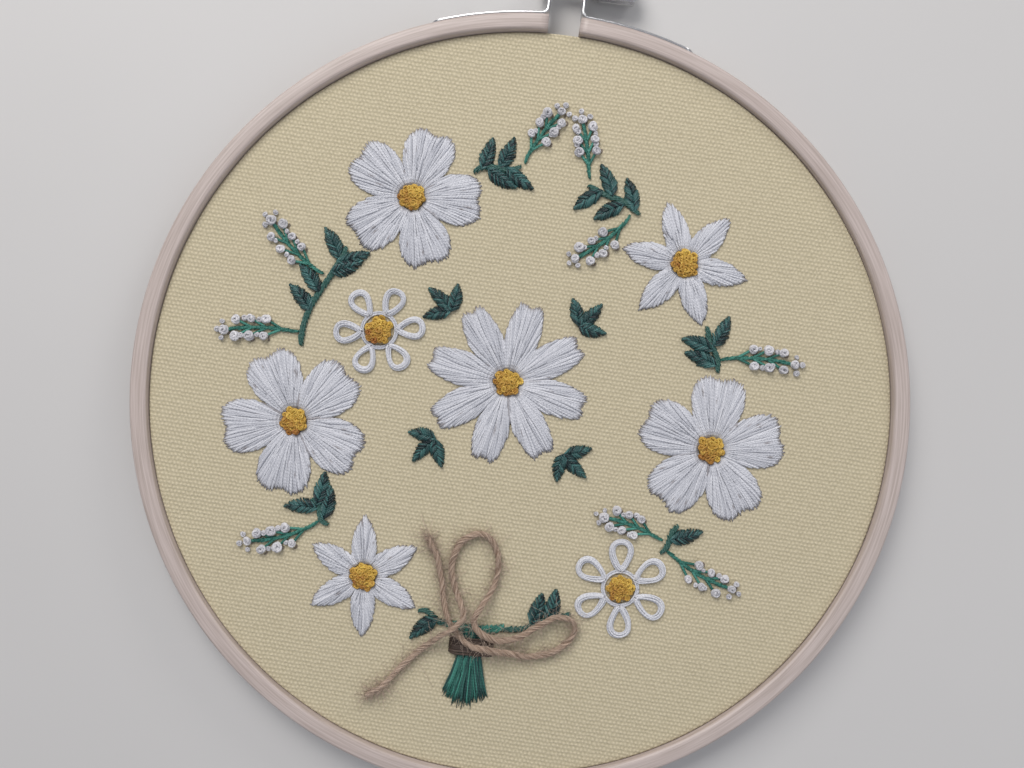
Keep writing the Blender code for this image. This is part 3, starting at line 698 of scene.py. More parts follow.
print("ring widths in mm:", [round(a - b, 1) for a, b in (
    (RING_OUTSIDE, RING_INSIDE), (INNER_OUTSIDE, INNER_INSIDE))])

# %% [markdown]
# ## Clamp straps
#
# Two bent steel straps are pinned to the ring's ends and stand out as ears for the screw.
# Each is a strip with rounded edges, carried along the ring, round a tight bend and out.
# Its height closes in at both ends, which rounds its corners without a cutting step.

# %% Straps
SIDES = ((-1, "left"), (1, "right"))
SCREW_Y = 115.6
EAR_Y = 119.8
MID_HEIGHT = 5.0
STRAP_THICK, STRAP_HALF_HEIGHT, STRAP_REACH = 0.9, 3.3, 30.0
STRAP_BEND = 1.6
STRAP_ROUND = 2.4


def strap_line(side):
    """Middle line of a strap: along the ring, round the bend, out along the ear."""
    radius = RING_OUTSIDE + 0.3 + STRAP_THICK / 2
    ear_x = SPLIT_WIDTH / 2 + STRAP_THICK / 2
    start = (ear_x + STRAP_BEND) / radius
    arc = radius * circle(np.pi / 2 - start - np.linspace(STRAP_REACH / radius, 0, 40))
    middle = np.array((ear_x + STRAP_BEND, arc[-1, 1] + STRAP_BEND))
    bend = middle - STRAP_BEND * circle(np.radians(np.linspace(80, 0, 9)))
    ear = np.stack((np.full(12, ear_x), np.linspace(bend[-1, 1] + 0.8, EAR_Y, 12)), -1)
    return np.concatenate((arc, bend, ear)) * (side, 1)


def strap(name, node, side):
    """Rounded strip carried along the strap line, its height closing in at both ends.

    Half the height is its full value less r, plus sqrt(r * r - (r - d) * (r - d)), with
    the distance d to the strip's end, at most r.
    """
    line = strap_line(side)
    run = run_along(line)
    even = np.linspace(0, run[-1], 110)
    ends = STRAP_ROUND * (1 - np.cos(np.linspace(0, np.pi / 2, 8)))
    even = np.concatenate((ends, even[(even > 2.5) & (even < run[-1] - 2.5)],
                           run[-1] - ends[::-1]))
    line = read_at(even, run, line)
    near_end = np.minimum(np.minimum(even, run[-1] - even), STRAP_ROUND)
    half = STRAP_HALF_HEIGHT - STRAP_ROUND + np.sqrt(
        np.maximum(STRAP_ROUND ** 2 - (STRAP_ROUND - near_end) ** 2, 0.0))
    square = leftwards(unit(np.gradient(line, axis=0)))
    section = rounded_section(-STRAP_THICK / 2, STRAP_THICK / 2, -1.0, 1.0, 0.2, 3)
    flat = line[:, None] + square[:, None] * section[None, :, :1]
    high = MID_HEIGHT + section[None, :, 1:] * half[:, None, None]
    piece(name, [carried(np.concatenate((flat, high), -1), closed=False)],
          STEEL, "clamp_steel", node)


for side, word in SIDES:
    strap("strap_" + word, "bracket_" + word, side)

# %% [markdown]
# ## Pins, screw and nut
#
# Domed pins fix the straps to the ring. A screw crosses the ears and carries a long ridged
# nut, which draws them together on the real hoop. All are turned parts, so all are circles
# along an axis, with the thread and the ridges added to the radius. A screw cut by a
# boolean would need far more care to stay closed.

# %% Turned parts
def turned_on(axis, places, radii):
    """Closed form from circles that stand square to a level axis, at (x, y) places.

    radii has one row a place and one number a corner of its circle.
    """
    turn = 2 * np.pi * np.arange(radii.shape[1]) / radii.shape[1]
    level = (radii * np.cos(turn))[..., None] * (-axis[1], axis[0])
    high = MID_HEIGHT + (radii * np.sin(turn))[..., None]
    return carried(np.concatenate((places[:, None] + level, high), -1), closed=False)


def on_screw(name, node, along_x, radii):
    """Turned part on the screw's axis, handed over."""
    places = np.stack((along_x, np.full(len(along_x), SCREW_Y)), -1)
    piece(name, [turned_on((1.0, 0.0), places, radii)], STEEL, "clamp_steel", node)


# %% Pins
PIN_SIDES = 24
dome = np.linspace(0, np.pi / 2, 7)[:-1]
seat = RING_OUTSIDE + 1.2
reach = np.concatenate(([seat - 4.0, seat], seat + 0.9 * np.sin(dome)))
sizes = np.concatenate(([0.7, 0.7], 1.7 * np.cos(dome)))
for side, word in SIDES:
    for number, along in enumerate((10.0, 22.0), 1):
        from_top = (SPLIT_WIDTH / 2 + STRAP_THICK / 2 + STRAP_BEND + along) / RING_OUTSIDE
        axis = circle(np.pi / 2 - side * from_top)
        pin = turned_on(axis, reach[:, None] * axis, np.tile(sizes[:, None], PIN_SIDES))
        piece(f"pin_{word}_{number}_head", [pin],
              STEEL, "clamp_steel", f"pin_{word}_{number}")

# %% Screw
SCREW_PITCH, SCREW_RADIUS, THREAD_DEEP, HEAD_RADIUS = 0.8, 1.65, 0.28, 3.5
along_x = np.concatenate((np.linspace(-7.9, -5.55, 8), np.linspace(-5.5, 19.7, 250)))
turn = 2 * np.pi * np.arange(24) / 24
thread = 0.5 + 0.5 * np.cos(2 * np.pi * along_x[:, None] / SCREW_PITCH - turn)
radii = SCREW_RADIUS + THREAD_DEEP * thread
head = along_x < -5.5
radii[head] = HEAD_RADIUS - 0.7 * np.clip((-7.2 - along_x[head]) / 0.7, 0, 1)[:, None] ** 2
radii[-8:] *= np.linspace(1.0, 0.72, 8)[:, None]
on_screw("screw", "clamp_screw", along_x, radii)

# %% Nut
RIDGES = 20
along_x = np.concatenate(([5.55], np.linspace(5.7, 18.3, 60), [18.5]))
turn = 2 * np.pi * np.arange(120) / 120
ridge = 0.5 + 0.5 * np.cos(RIDGES * turn)
collar = np.clip((along_x - 7.3) / 0.6, 0, 1)[:, None]
radii = 3.1 + collar * (0.8 + 0.3 * ridge)
radii[[0, -2, -1]] -= np.array((0.4, 0.15, 0.7))[:, None]
on_screw("nut", "thumb_nut", along_x, radii)

# %% [markdown]
# ## Wreath layout
#
# Motifs stand around one ellipse. A point of it is given by an angle, and its heading is
# the direction between its two neighbours one degree away. The same numbers placed the
# solid motifs in the CAD part, so each stitched piece lies where its solid was.

# %% Wreath line
STITCH_BASE = CLOTH_TOP + 0.15
WREATH = (-4.0, 1.0, 57.0, 62.0)  # middle x and y, half width and half height
TIE = (-5.6, -62.0)  # where the stem ends leave the tie
HEART_RADIUS = 3.9
BLOSSOMS = {
    # name: (kind, angle, outward, radius, petals, turn)
    "rose_left": ("rose", 192, 0.0, 20.5, 5, 12),
    "rose_top": ("rose", 124, -1.0, 19.5, 5, 40),
    "rose_right": ("rose", 353, 0.0, 20.5, 5, -20),
    "star_left": ("star", 236, 1.0, 16.5, 6, 5),
    "star_right": ("star", 41, 1.0, 17.5, 6, 22),
    "loop_left": ("loop", 161, -19.0, 12.5, 6, 10),
    "loop_right": ("loop", 310, 0.0, 13.5, 6, 35),
    "cosmos_middle": ("cosmos", 90, -58.0, 22.0, 8, 11),
}


def polar(radius, degrees):
    """Point or points at a distance and an angle in degrees, on the last axis."""
    return np.asarray(radius)[..., None] * circle(np.radians(degrees))


def wreath_point(angle, outward=0.0):
    """Point beside the wreath's ellipse, which dips a little to the tie."""
    x, y, half_width, half_height = WREATH
    turn = np.radians(angle)
    dip = np.exp(-(((np.asarray(angle) - 267.0) / 9.0) ** 2))
    return np.stack(np.broadcast_arrays(x + (half_width + outward) * np.cos(turn),
                                        y + (half_height + outward + dip) * np.sin(turn)), -1)


def wreath_heading(angle):
    """Direction of the wreath line, in degrees."""
    step = wreath_point(angle + 1.0) - wreath_point(angle - 1.0)
    return math.degrees(math.atan2(step[1], step[0]))


behind = {"white": [], "yellow": [], "green": []}


def led_behind(colour, ends, starts):
    """Keeps the chords on which a thread runs on behind the cloth, from end to next start."""
    behind[colour].append(np.stack((ends[..., :2], starts[..., :2]), axis=1))


def lifted(flat, height):
    """Flat points with a height above the stitches' base."""
    height = np.broadcast_to(height, flat.shape[:-1])
    return np.concatenate((flat, (STITCH_BASE + height)[..., None]), axis=-1)


# %% [markdown]
# ## Satin petals
#
# Each petal is a row of long strands that run out from the flower's middle. Near the
# middle there is less room, so only one strand in four starts there. The others start
# further out, as in long and short stitch. A low padded ring under them keeps the cloth
# from showing through. The tips carry traces of the pattern pen, and the side strands a
# dark tone that is pen and painted shade together.

# %% Petal outline
def petal_reach(kind, u):
    """Reach of a petal as a part of the radius, at -1 to 1 across it."""
    u = np.abs(u)
    if kind == "rose":
        return 1.0 - 0.55 * u ** 3.2 - 0.08 * np.exp(-((u / 0.22) ** 2))
    if kind == "star":
        return 1.0 - 0.66 * u ** 1.1
    return 1.0 - 0.55 * u ** 2.6 - 0.03 * np.cos(3 * np.pi * u)


def crown(u):
    """Height across a petal as a part of its middle's: 0.62 + 0.38 cos(pi u / 2)."""
    return 0.62 + 0.38 * np.cos(np.pi * u / 2)


def petal_rise(part, u):
    """Height of the strands: 0.98 crown(u) (0.72 + 0.28 sin(pi part) - 0.4 part ** 4)."""
    along = 0.72 + 0.28 * np.sin(np.pi * np.clip(part, 0, 1)) - 0.4 * part ** 4
    return 0.98 * crown(u) * along


# %% Petal strands
STRAND_PITCH = 0.46  # between strands at a petal's rim
PEN_SPECKS = 0.08  # part of the strands with a speck of pen


def padding(kind, middle, radius, petals, turn):
    """Closed low ring under the strands, just inside their outline."""
    across = 24
    columns = petals * across
    k = np.arange(columns)
    u = 2.0 * (k % across) / across - 1.0
    hollow = HEART_RADIUS - 0.6
    reach = radius * petal_reach(kind, u) - 0.5
    heading = turn + 360.0 * k / columns
    loops = [lifted(middle + polar(hollow + (reach - hollow) * part, heading), rise * crown(u))
             for part, rise in ((0.0, 0.0), (0.0, 0.3), (0.25, 0.62), (0.5, 0.72),
                                (0.75, 0.62), (0.95, 0.32), (1.0, 0.0))]
    return carried(np.stack(loops), closed=True)


def satin_strands(kind, middle, radius, petals, turn):
    """Strands of all petals: straight lines out from the middle, tips down in the cloth.

    Strand k starts at the middle where k % 4 is 0, and further out for the others.
    """
    span = 360.0 / petals
    a_petal = int(math.radians(span) * radius / STRAND_PITCH)
    k = np.tile(np.arange(a_petal), petals)
    petal = np.repeat(np.arange(petals), a_petal)
    count = len(k)
    u = 2 * (k + 0.5) / a_petal - 1
    u = np.clip(u * 0.97 + rng.normal(0, 0.008, count), -0.99, 0.99)
    reach = radius * petal_reach(kind, u) + rng.normal(0, 0.22, count)
    start = np.select([k % 4 == 0, k % 4 == 2], [0.0, 0.2], 0.42)
    start = start + (start > 0) * rng.uniform(-0.07, 0.07, count)
    hollow = HEART_RADIUS - 0.5
    steps = 9
    part = start[:, None] + (1 - start)[:, None] * np.linspace(0, 1, steps) ** 0.9
    away = hollow + (reach - hollow)[:, None] * part
    bow = rng.normal(0, 0.5, count)[:, None] * np.sin(np.pi * part)
    angle = turn + span * (petal + 0.5 + u / 2)[:, None] + np.degrees(bow / 20.0)
    height = petal_rise(part, u[:, None]) - 0.10 + rng.normal(0, 0.035, (count, 1))
    height = height + 0.02 * rng.standard_normal((count, steps))
    height[:, -1] = -0.15
    height[:, 0] -= 0.18
    lines = lifted(middle + polar(away, angle), height)
    slim = np.ones(steps)
    slim[[0, -1]] = (0.75, 0.45)
    pen_and_edge_shade = np.zeros((count, steps))
    pen_and_edge_shade[:, -1] = rng.uniform(0.3, 1.0, count)
    # Strands at a petal's sides darken too: the pattern pen and a painted shade along the
    # edge.
    pen_and_edge_shade += 0.6 * (np.abs(u) > 0.955)[:, None] * rng.uniform(0.3, 1.0, (count, 1))
    pen_and_edge_shade = np.minimum(pen_and_edge_shade, 1.0)
    led_behind("white", lines[:-1:4, -1], lines[1::4, 0])
    speck = rng.random(count) < PEN_SPECKS
    pen_and_edge_shade[speck, rng.integers(3, steps - 1, speck.sum())] = 0.6
    return tube_parts(lines, 0.31 * slim, 0.22 * slim, ink=pen_and_edge_shade)


for name, (kind, angle, outward, *rest) in BLOSSOMS.items():
    if kind != "loop":
        piece(name + "_satin", [form(kind, wreath_point(angle, outward), *rest)
                                for form in (padding, satin_strands)],
              WHITE, "white_thread", name)

# %% [markdown]
# ## Open petals
#
# Two small flowers have petals of open loops, as in a long chain stitch. Each is a bundle
# of nine strands led out, round and back along one closed curve, five below and four on
# top. Two more rounds lie about the flower's middle. One thick tube would show no strands.

# %% Loop petals
BUNDLE = ((-0.62, 0.2), (-0.2, 0.18), (0.2, 0.18), (0.62, 0.2), (-0.42, 0.5),
          (0.0, 0.52), (0.42, 0.5), (-0.2, 0.74), (0.22, 0.74))


def loop_blossom(name, angle, outward, radius, petals, turn):
    """Bundles of nine strands along each petal's drop-shaped curve.

    The curve is out * (1 - cos(a)) / 2 away and wide * sin(a) * (1 - 0.45 cos(a)) aside.
    """
    middle = wreath_point(angle, outward)
    hollow = HEART_RADIUS + 0.3
    swing = np.linspace(0, 2 * np.pi, 33)
    out = hollow + 0.9 + (radius - hollow - 1.8) * (1 - np.cos(swing)) / 2
    aside = 0.17 * radius * np.sin(swing) * (1 - 0.45 * np.cos(swing))
    lines = []
    for heading in turn + 360.0 * np.arange(petals) / petals:
        flat = middle + polar(out, heading) + polar(aside, heading + 90)
        line = lifted(flat, 0.05)
        for start in (0, 12):
            led_behind("white", flat[None, 16], flat[None, start])
        for offset, over in BUNDLE:
            wobble = 0.13 * np.sin(swing * rng.uniform(1.0, 2.5) + rng.uniform(0, 6))
            lines.append(beside(line, offset + wobble, over + 0.4 * wobble))
    lap = circle(np.linspace(0, 2 * np.pi, 61))
    rounds = [lifted(middle + size * lap, rise)
              for size, rise in ((hollow + 0.15, 0.25), (hollow + 0.7, 0.22))]
    bright = rng.uniform(0.6, 1.3, len(lines))
    piece(name + "_chain", [tube_parts(np.stack(lines), 0.225, 0.2, shade=bright),
                            tube_parts(np.stack(rounds), 0.3, 0.24)],
          WHITE, "white_thread", name)


for name, (kind, *place) in BLOSSOMS.items():
    if kind == "loop":
        loop_blossom(name, *place)

# %% [markdown]
# ## French knots
#
# A French knot is the thread wound twice round the needle and drawn down through its own
# middle. Its line is a coil that climbs, closes in, and ends in a small dimple. The thread
# is drawn as two plies that turn about this line, because single knots are seen up close.
# A ball would be quicker, but it has no coil to catch the light.

# %% Knot coils
def knot_coils(centres, radius, height, lift=0.0):
    """Coils for knots at (count, 2) centres: out from the middle, two turns up, and in."""
    count = len(centres)
    t = np.linspace(0, 1, 36)[None]
    size = radius * rng.uniform(0.82, 1.08, (count, 1))
    thread = 0.40 * size
    turn = 2 * np.pi * (2.6 * t * rng.uniform(0.9, 1.1, (count, 1)) + rng.random((count, 1)))
    out = np.interp(t, (0, 0.14, 0.55, 0.82, 0.95, 1), (0.1, 0.60, 0.60, 0.52, 0.20, 0.06))
    rise = np.interp(t, (0, 0.14, 0.5, 0.86, 1), (0.20, 0.26, 0.50, 0.72, 0.50))
    tilt = rng.uniform(0.05, 0.30, (count, 1)) * np.cos(turn + rng.uniform(0, 6, (count, 1)))
    squash = rng.uniform(0.86, 1.0, (count, 1, 2))
    flat = (centres[:, None] + (size * out)[..., None] * circle(turn) * squash
            + rng.normal(0, 0.06, (count, 1, 2)))
    high = np.maximum(height * rise + size * out * tilt, 0.15) + np.reshape(lift, (-1, 1))
    slim = np.interp(t, (0, 0.05, 0.9, 1), (0.6, 1.0, 1.0, 0.7))
    return lifted(flat, high), thread * slim


def two_ply(lines, wide, sides, **values):
    """Each coil as two plies that turn about its line, half a turn apart.

    A ply's line is the coil's line + 0.5 * width * (across * cos(a) + up * sin(a)).
    """
    plies = []
    for half in (0.0, np.pi):
        turned = 2 * np.pi * run_along(lines) / (7.0 * wide.max()) + half
        ply = beside(lines, 0.5 * wide * np.cos(turned), 0.5 * wide * np.sin(turned))
        plies.append(tube_parts(ply, 0.62 * wide, 0.62 * wide, sides, **values))
    return plies


# %% [markdown]
# ## Flower middles
#
# A flower's middle is packed with yellow knots over a low bed. They stand in sunflower
# order, each turned on by 137.5 degrees and a little further out, because that fills a
# disc evenly without rows. Their lower side carries an orange tone. The bed takes a dark
# yellow, which shows between the knots as painted shade.

# %% Flower middles
HEART_KNOTS = 25
BED = np.array(((3.2, 0.0), (3.1, 0.3), (2.3, 0.6), (0.6, 0.75), (0.3, 0.75), (0.3, 0.0)))
bed_shape = around_z(BED, np.linspace(0, 2 * np.pi, 24, endpoint=False))[:, ::-1]
for name, (kind, angle, outward, *_) in BLOSSOMS.items():
    middle = wreath_point(angle, outward)
    k = np.arange(HEART_KNOTS)
    away = (HEART_RADIUS - 0.72) * np.sqrt((k + 0.3) / (HEART_KNOTS - 0.7))
    spots = middle + polar(away, 137.5 * k + angle) + rng.normal(0, 0.12, (HEART_KNOTS, 2))
    lift = 0.5 * (1 - (away / HEART_RADIUS) ** 2) + rng.uniform(-0.15, 0.25, HEART_KNOTS)
    lines, wide = knot_coils(spots, 1.12, 1.15, lift)
    led_behind("yellow", spots[:-1], spots[1:])
    low_side = np.clip(0.5 - 0.2 * ((spots - middle) @ np.array((0.5, 1.0))), 0, 1)
    orange = low_side * rng.uniform(0.2, 1.0, HEART_KNOTS)
    # The bed's dark yellow (shade 0.2) is painted shade between the knots.
    bed = carried(bed_shape + (*middle, STITCH_BASE), closed=True, shade=0.2)
    piece(name + "_middle", [*two_ply(lines, wide, 5, ink=orange), bed],
          YELLOW, "yellow_thread", "heart_" + name)


# %% [markdown]
# ## Sprigs
#
# Stems are worked in stem stitch: short slanting stitches that overlap like a rope's
# strands. Leaves are worked in fishbone: stitches fan from the midrib to both edges.
# Laying each stitch as its own tube gives the ridges that light catches.

# %% Stem stitch
def slimmed(t, margin):
    """Width along a stitch: 0.55 + 0.45 sqrt(sin(pi t)), with t kept off both ends."""
    return 0.55 + 0.45 * np.sin(np.pi * np.clip(t, margin, 1 - margin)) ** 0.5


def stem_stitches(line, width, height, length=3.6, step=1.15):
    """Overlapping slanted stitches along a flat line of many points, two strands each."""
    run = run_along(line)
    count = max(2, int((run[-1] - length * 0.5) / step))
    first = np.linspace(-0.25 * length, run[-1] - 0.75 * length, count)
    t = np.linspace(0, 1, 8)
    spot = np.clip(first[:, None] + rng.normal(0, 0.08, (count, 1)) + length * t, 0, run[-1])
    square = leftwards(unit(read_at(spot, run, np.gradient(line, axis=0))))
    slant = (t - 0.5) * 0.62 * width + rng.normal(0, 0.04, (count, 1))
    flat = read_at(spot, run, line) + square * slant[..., None]
    rise = height * (0.20 + 0.46 * np.sin(np.pi * t)) + 0.04 * rng.standard_normal((count, 1))
    led_behind("green", flat[:-1:2, -1], flat[1::2, 0])
    square = square * 0.13 * width
    pair = np.concatenate((lifted(flat - square, rise), lifted(flat + square, rise + 0.03)))
    across = np.concatenate((square, np.zeros((count, 8, 1))), -1)
    slim = slimmed(t, 0.06)
    return tube_parts(pair, 0.16 * width * slim, 0.30 * height * slim,
                      across=unit(np.concatenate((across, across))))


# %% Fishbone leaves
def fishbone(root, heading, length=9.0, width=4.0):
    """Strands from the midrib out and forward to both edges of a pointed leaf.

    Half the leaf's width is (0.5 + (width - 0.5) * sin(pi * part ** 0.85) ** 0.8) / 2.
    """
    part = np.linspace(0, 1, 60)
    rib = root + polar(length * part, heading + 10.0 * part)
    half = (0.5 + (width - 0.5) * np.sin(np.pi * part ** 0.85) ** 0.8) / 2
    count = int(length * 1.9)
    from_part = np.linspace(0.0, 0.9, count)
    far = np.interp(np.clip(from_part + 0.24, 0, 1), part, half)[:, None]
    t = np.linspace(0, 1, 7)
    lines = []
    for side in (-1, 1):
        reach = from_part[:, None] + 0.24 * t ** 1.1 + rng.normal(0, 0.013, (count, 1))
        reach = np.clip(reach, 0, 1)
        square = leftwards(circle(np.radians(heading + 10.0 * reach))) * side
        edge = (far * (1.0 + 0.06 * rng.standard_normal((count, 1)))) * t - 0.15 * (1 - t)
        flat = read_at(reach, part, rib) + square * edge[..., None]
        rise = 0.56 + 0.26 * np.sin(np.pi * t) - 0.65 * t ** 4
        lines.append(lifted(flat, rise + rng.normal(0, 0.09, (count, 1))))
    led_behind("green", lines[0][:-1:2, -1], lines[1][1::2, 0])
    led_behind("green", lines[1][1:-1:2, -1], lines[0][2::2, 0])
    slim = slimmed(t, 0.1)
    # One half of the leaf is a shade darker and the other a shade lighter: painted light, as
    # the two slants of stitches meet the light from opposite sides.
    shade = rng.random(2 * count) + np.repeat((-0.1, 0.1), count)
    return tube_parts(np.concatenate(lines), 0.29 * slim, 0.25 * slim, shade=shade)


# %% Wreath sprigs
SPRIGS = {
    # name: (from angle, to angle, leaf angles outside, leaf angles inside)
    "sprig_tie_left": (261.6, 253.0, (258.5,), ()),
    "sprig_low_left": (220.0, 212.0, (215,), (218, 214)),
    "sprig_mid_left": (173.0, 145.5, (164, 159, 149), (153, 150)),
    "sprig_top_left": (106.0, 93.0, (104, 99), (102, 97)),
    "sprig_tie_right": (276.4, 295.0, (), (284, 288.5)),
    "sprig_low_right": (324.0, 332.0, (328,), ()),
    "sprig_mid_right": (12.5, 24.0, (19,), (14, 18)),
    "sprig_top_right": (58.5, 74.0, (60, 67), (63, 70)),
}


def sprig(name, start, end, outside, inside):
    """Stem stitches along the wreath line and leaves on both sides that point onwards."""
    part = np.linspace(0, 1, 60)
    line = wreath_point(start + (end - start) * part, 0.6 * np.sin(2 * np.pi * part))
    way = 1 if end > start else -1
    leaves = []
    for angles, side in ((outside, 1), (inside, -1)):
        for angle in angles:
            heading = wreath_heading(angle) + (0 if way > 0 else 180) - way * side * 50.0
            leaves.append(fishbone(wreath_point(angle), heading))
    stem = stem_stitches(line, 1.7, 0.9)
    stem["ink"] += 1.0
    piece(name + "_leaves", leaves + [stem], LEAF, "green_thread", name)


for name, row in SPRIGS.items():
    sprig(name, *row)

# %% [markdown]
# ## Corner leaves
#
# Around the middle flower stand four fans of three leaves, in the same fishbone stitch. As
# a function already makes one leaf, a fan is that function called at three angles.

# %% Corner leaves
FAN = ((0, 8.5), (-58, 7.5), (58, 7.5))  # (turned by, length) of a fan's leaves
flower_middle = wreath_point(*BLOSSOMS["cosmos_middle"][1:3])
for number, angle in enumerate((45, 135, 225, 315), 1):
    root = flower_middle + polar(24.5, angle)
    fan = [fishbone(root, angle + spread - 5, length, 3.6) for spread, length in FAN]
    piece(f"corner_fan_{number}", fan, LEAF, "green_thread", f"corner_leaves_{number}")

# %% [markdown]
# ## Sprays of knots
#
# A spray is a bright green stalk with white knots on short side stitches, and smaller
# knots between them. The green and the white are different threads, so each spray makes
# two meshes. Short arcs at the knots' feet are traces of the pattern pen.

# %% Sprays
SPRAYS = {
    # name: (angle, side, lean, length, bend)
    "spray_low_left": (218, 1, 2, 20.0, -16),
    "spray_mid_left": (170, 1, 4, 20.0, 10),
    "spray_high_left": (154.5, 1, -2, 20.0, -14),
    "spray_top_left": (92.3, 1, -22, 17.0, -10),
    "spray_low_right": (325.5, 1, -6, 20.0, 14),
    "spray_mid_right": (15.5, 1, 0, 20.0, -12),
    "spray_high_right": (74.6, 1, 24, 16.0, 6),
    "spray_in_low": (326.5, -1, 4, 17.0, 12),
    "spray_in_high": (60.0, -1, 0, 19.0, -14),
}


def spray(name, angle, side, lean, length, bend):
    """Curved stalk with six side knots, one at its tip and seven smaller ones."""
    root = wreath_point(angle, side * 1.4)
    heading = wreath_heading(angle) - side * 90.0 + lean
    part = np.linspace(0, 1, 51)
    line = root + polar(length * part, heading + bend * part)
    stops = np.array((20, 20, 30, 30, 40, 40))
    turn = heading + bend * part[stops] + np.tile((-68, 68), 3)
    spots = line[stops] + polar(2.5, turn)
    heads = np.concatenate((spots, line[-1:]))
    t = np.linspace(0, 1, 6)[None, :, None]
    back = line[stops - 9][:, None]
    arms = lifted(back + (spots[:, None] - back) * t, 0.25 + 0.25 * np.sin(np.pi * t[..., 0]))
    piece(name + "_stalk", [stem_stitches(line, 1.1, 0.75, 3.0, 1.0),
                            tube_parts(arms, 0.36, 0.26)], EMERALD, "green_thread", name)
    big = knot_coils(heads, 1.42, 1.7)
    between = spots[2:] + 0.5 * (spots[:-2] - spots[2:]) + rng.normal(0, 0.4, (4, 2))
    beyond = line[-1] + polar(rng.uniform(1.9, 2.3, 3), turn[-1] - 68 + np.array((-75, 0, 75)))
    small = knot_coils(np.concatenate((between, beyond)), 0.85, 1.1)
    feet = heads + polar(1.0, rng.uniform(-60, 20, 7))
    traces = feet[:, None] + 0.62 * polar(1.0, np.linspace(-75, 75, 7)
                                          + rng.uniform(-60, 20, (7, 1)))
    led_behind("white", spots[:-1], spots[1:])
    led_behind("white", spots[:4], between)
    piece(name + "_knots", [*two_ply(*big, 6), *two_ply(*small, 5),
                            tube_parts(lifted(traces, 0.0), 0.2, 0.08, 4, ink=0.85)],
          IVORY, "white_thread", name)


for name, row in SPRAYS.items():
    spray(name, *row)

# %% [markdown]
# ## Stem ends
#
# Below the tie the stems end in a short fan of loose strands, cut unevenly. Each strand is
# a curve with one bending point, from under the tie to its own tip. One solid brush with
# grooves would be simpler, but its tips would all end on one line.

# %% Stem ends
STEM_ENDS = np.array(((-11.0, -79.8), (-8.3, -81.6), (-5.6, -82.3), (-3.0, -81.7),
                      (-0.4, -79.9)))
count, steps = 150, 14
t = np.linspace(0, 1, steps)[None, :, None]
tip_x = rng.uniform(-11.9, 0.5, count)
tip_y = np.interp(tip_x, STEM_ENDS[:, 0], STEM_ENDS[:, 1]) + rng.normal(0.2, 0.8, count)
tip = np.stack((tip_x, tip_y), -1)[:, None]
root = np.array(TIE) + (tip - TIE) * (0.25, 0.0) + (0.0, 1.0)
root = root + rng.normal(0, 0.9, (count, 1, 2)) * (1.0, 0.0)
bend = np.array(TIE) + 0.5 * (tip - TIE) * (0.80, 1.0) + rng.normal(0, 0.5, (count, 1, 2))
flat = (1 - t) ** 2 * root + 2 * t * (1 - t) * bend + t ** 2 * tip
flat = flat + 0.25 * np.sin(5 * t + rng.uniform(0, 6, (count, 1, 1))) * (1.0, 0.0) * t
height = rng.uniform(0.05, 0.75, (count, 1)) * np.ones(steps)
height[:, -1] = 0.02
slim = np.interp(np.arange(steps), (0, 11, 13), (1.0, 0.95, 0.3))
cut = tube_parts(lifted(flat, height), 0.215 * slim, 0.2 * slim,
                 ink=np.clip(rng.normal(0.45, 0.45, count), 0, 1))
under = stem_stitches(wreath_point(np.linspace(261.2, 276.8, 60)), 2.4, 0.9)
piece("stem_strands", [cut, under], EMERALD, "green_thread", "stem_ends")

# %% [markdown]
# ## Wraps
#
# Nine brown threads are couched over the stem ends in an arch, one beside the other. Each
# is a flat-topped arch, whose height falls with the fifth power of the distance from its
# middle, because a tight thread lies flat on the bundle and drops at its sides.

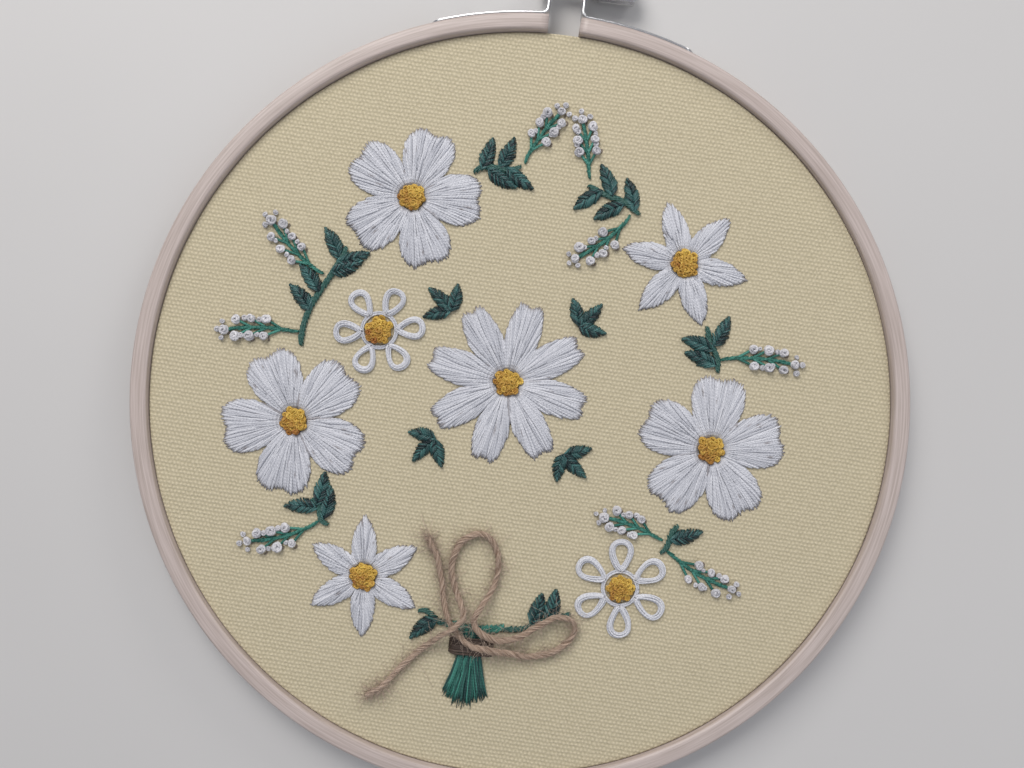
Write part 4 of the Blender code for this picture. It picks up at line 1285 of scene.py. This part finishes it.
# %% Wraps
WRAP_X, WRAP_Y, WRAP_WIDE, WRAP_HIGH, WRAPS = -5.4, -66.4, 12.4, 4.6, 9
rows = np.linspace(-0.5, 0.5, WRAPS)[:, None] * (WRAP_HIGH - 0.5)
s = np.linspace(-1, 1, 24)[None]
x = WRAP_X + (WRAP_WIDE / 2 - 0.35) * np.sign(s) * np.abs(s) ** 0.7
z = 1.72 * (1 - np.abs(s) ** 5.0) + 0.03 * rng.standard_normal((WRAPS, 1))
y = WRAP_Y + rows + 0.12 * np.sin(3 * s + rows * 3) + rng.normal(0, 0.04, (WRAPS, 1))
flat = np.stack(np.broadcast_arrays(x, y), -1)
piece("wrap_strands", [tube_parts(lifted(flat, z), 0.33, 0.3,
                                  across=(0.0, 1.0, 0.0))],
      BROWN, "brown_thread", "tie_wraps")

# %% [markdown]
# ## Back of the work
#
# Behind the cloth a thread runs on from the end of one stitch to the start of the next.
# The chords kept above give those runs. Each becomes a slack strand that bows a little to
# one side, with both ends up in the cloth. Copying the front's stitches would look too
# neat, because a back shows fewer and looser threads.

# %% Threads behind the cloth
t = np.linspace(0, 1, 5)
for colour, material in (("white", WHITE), ("yellow", YELLOW), ("green", LEAF)):
    chords = np.concatenate(behind[colour])
    chords = chords + rng.normal(0, 0.18, chords.shape)
    chord = (chords[:, 1] - chords[:, 0])[:, None]
    long = np.linalg.norm(chord, axis=-1)
    bow = np.sin(np.pi * t) * rng.normal(0, 0.035, (len(long), 1)) * long
    flat = chords[:, :1] + chord * t[:, None] + leftwards(unit(chord)) * bow[..., None]
    drop = rng.uniform(0.1, 0.34, (len(long), 1)) * np.ones(5)
    drop[:, [0, -1]] = -0.15
    strands = np.concatenate((flat, UNDERSIDE - drop[..., None]), -1)
    piece(f"back_{colour}", [tube_parts(strands, 0.28, 0.19, 4)],
          material, f"{colour}_thread")

# %% [markdown]
# ## Table
#
# A plain pale table stands under the hoop, far wider than the picture, so that no edge of
# it shows.

# %% Table
def table_top(size):
    """Flat square far wider than the hoop, just under height zero."""
    corners = np.array(((-1, -1, 0), (1, -1, 0), (1, 1, 0), (-1, 1, 0))) * size / 2 / MM
    made = mesh_object("table", corners - (0.0, CENTRE_Y, 0.02), [np.array(((0, 1, 2, 3),))])
    material = bpy.data.materials.new("pale_table")
    material.use_nodes = True
    g = Graph(material.node_tree)
    colour = g.mix(g.noise(g.place(), 9.0, 4.0), (0.54, 0.532, 0.525, 1.0),
                   (0.58, 0.572, 0.565, 1.0))
    shader = material.node_tree.nodes["Principled BSDF"]
    g.put(shader.inputs["Base Color"], colour)
    g.put(shader.inputs["Roughness"], 0.6)
    made.data.materials.append(material)
    print("table:", size, "m wide")


table_top(14.0)
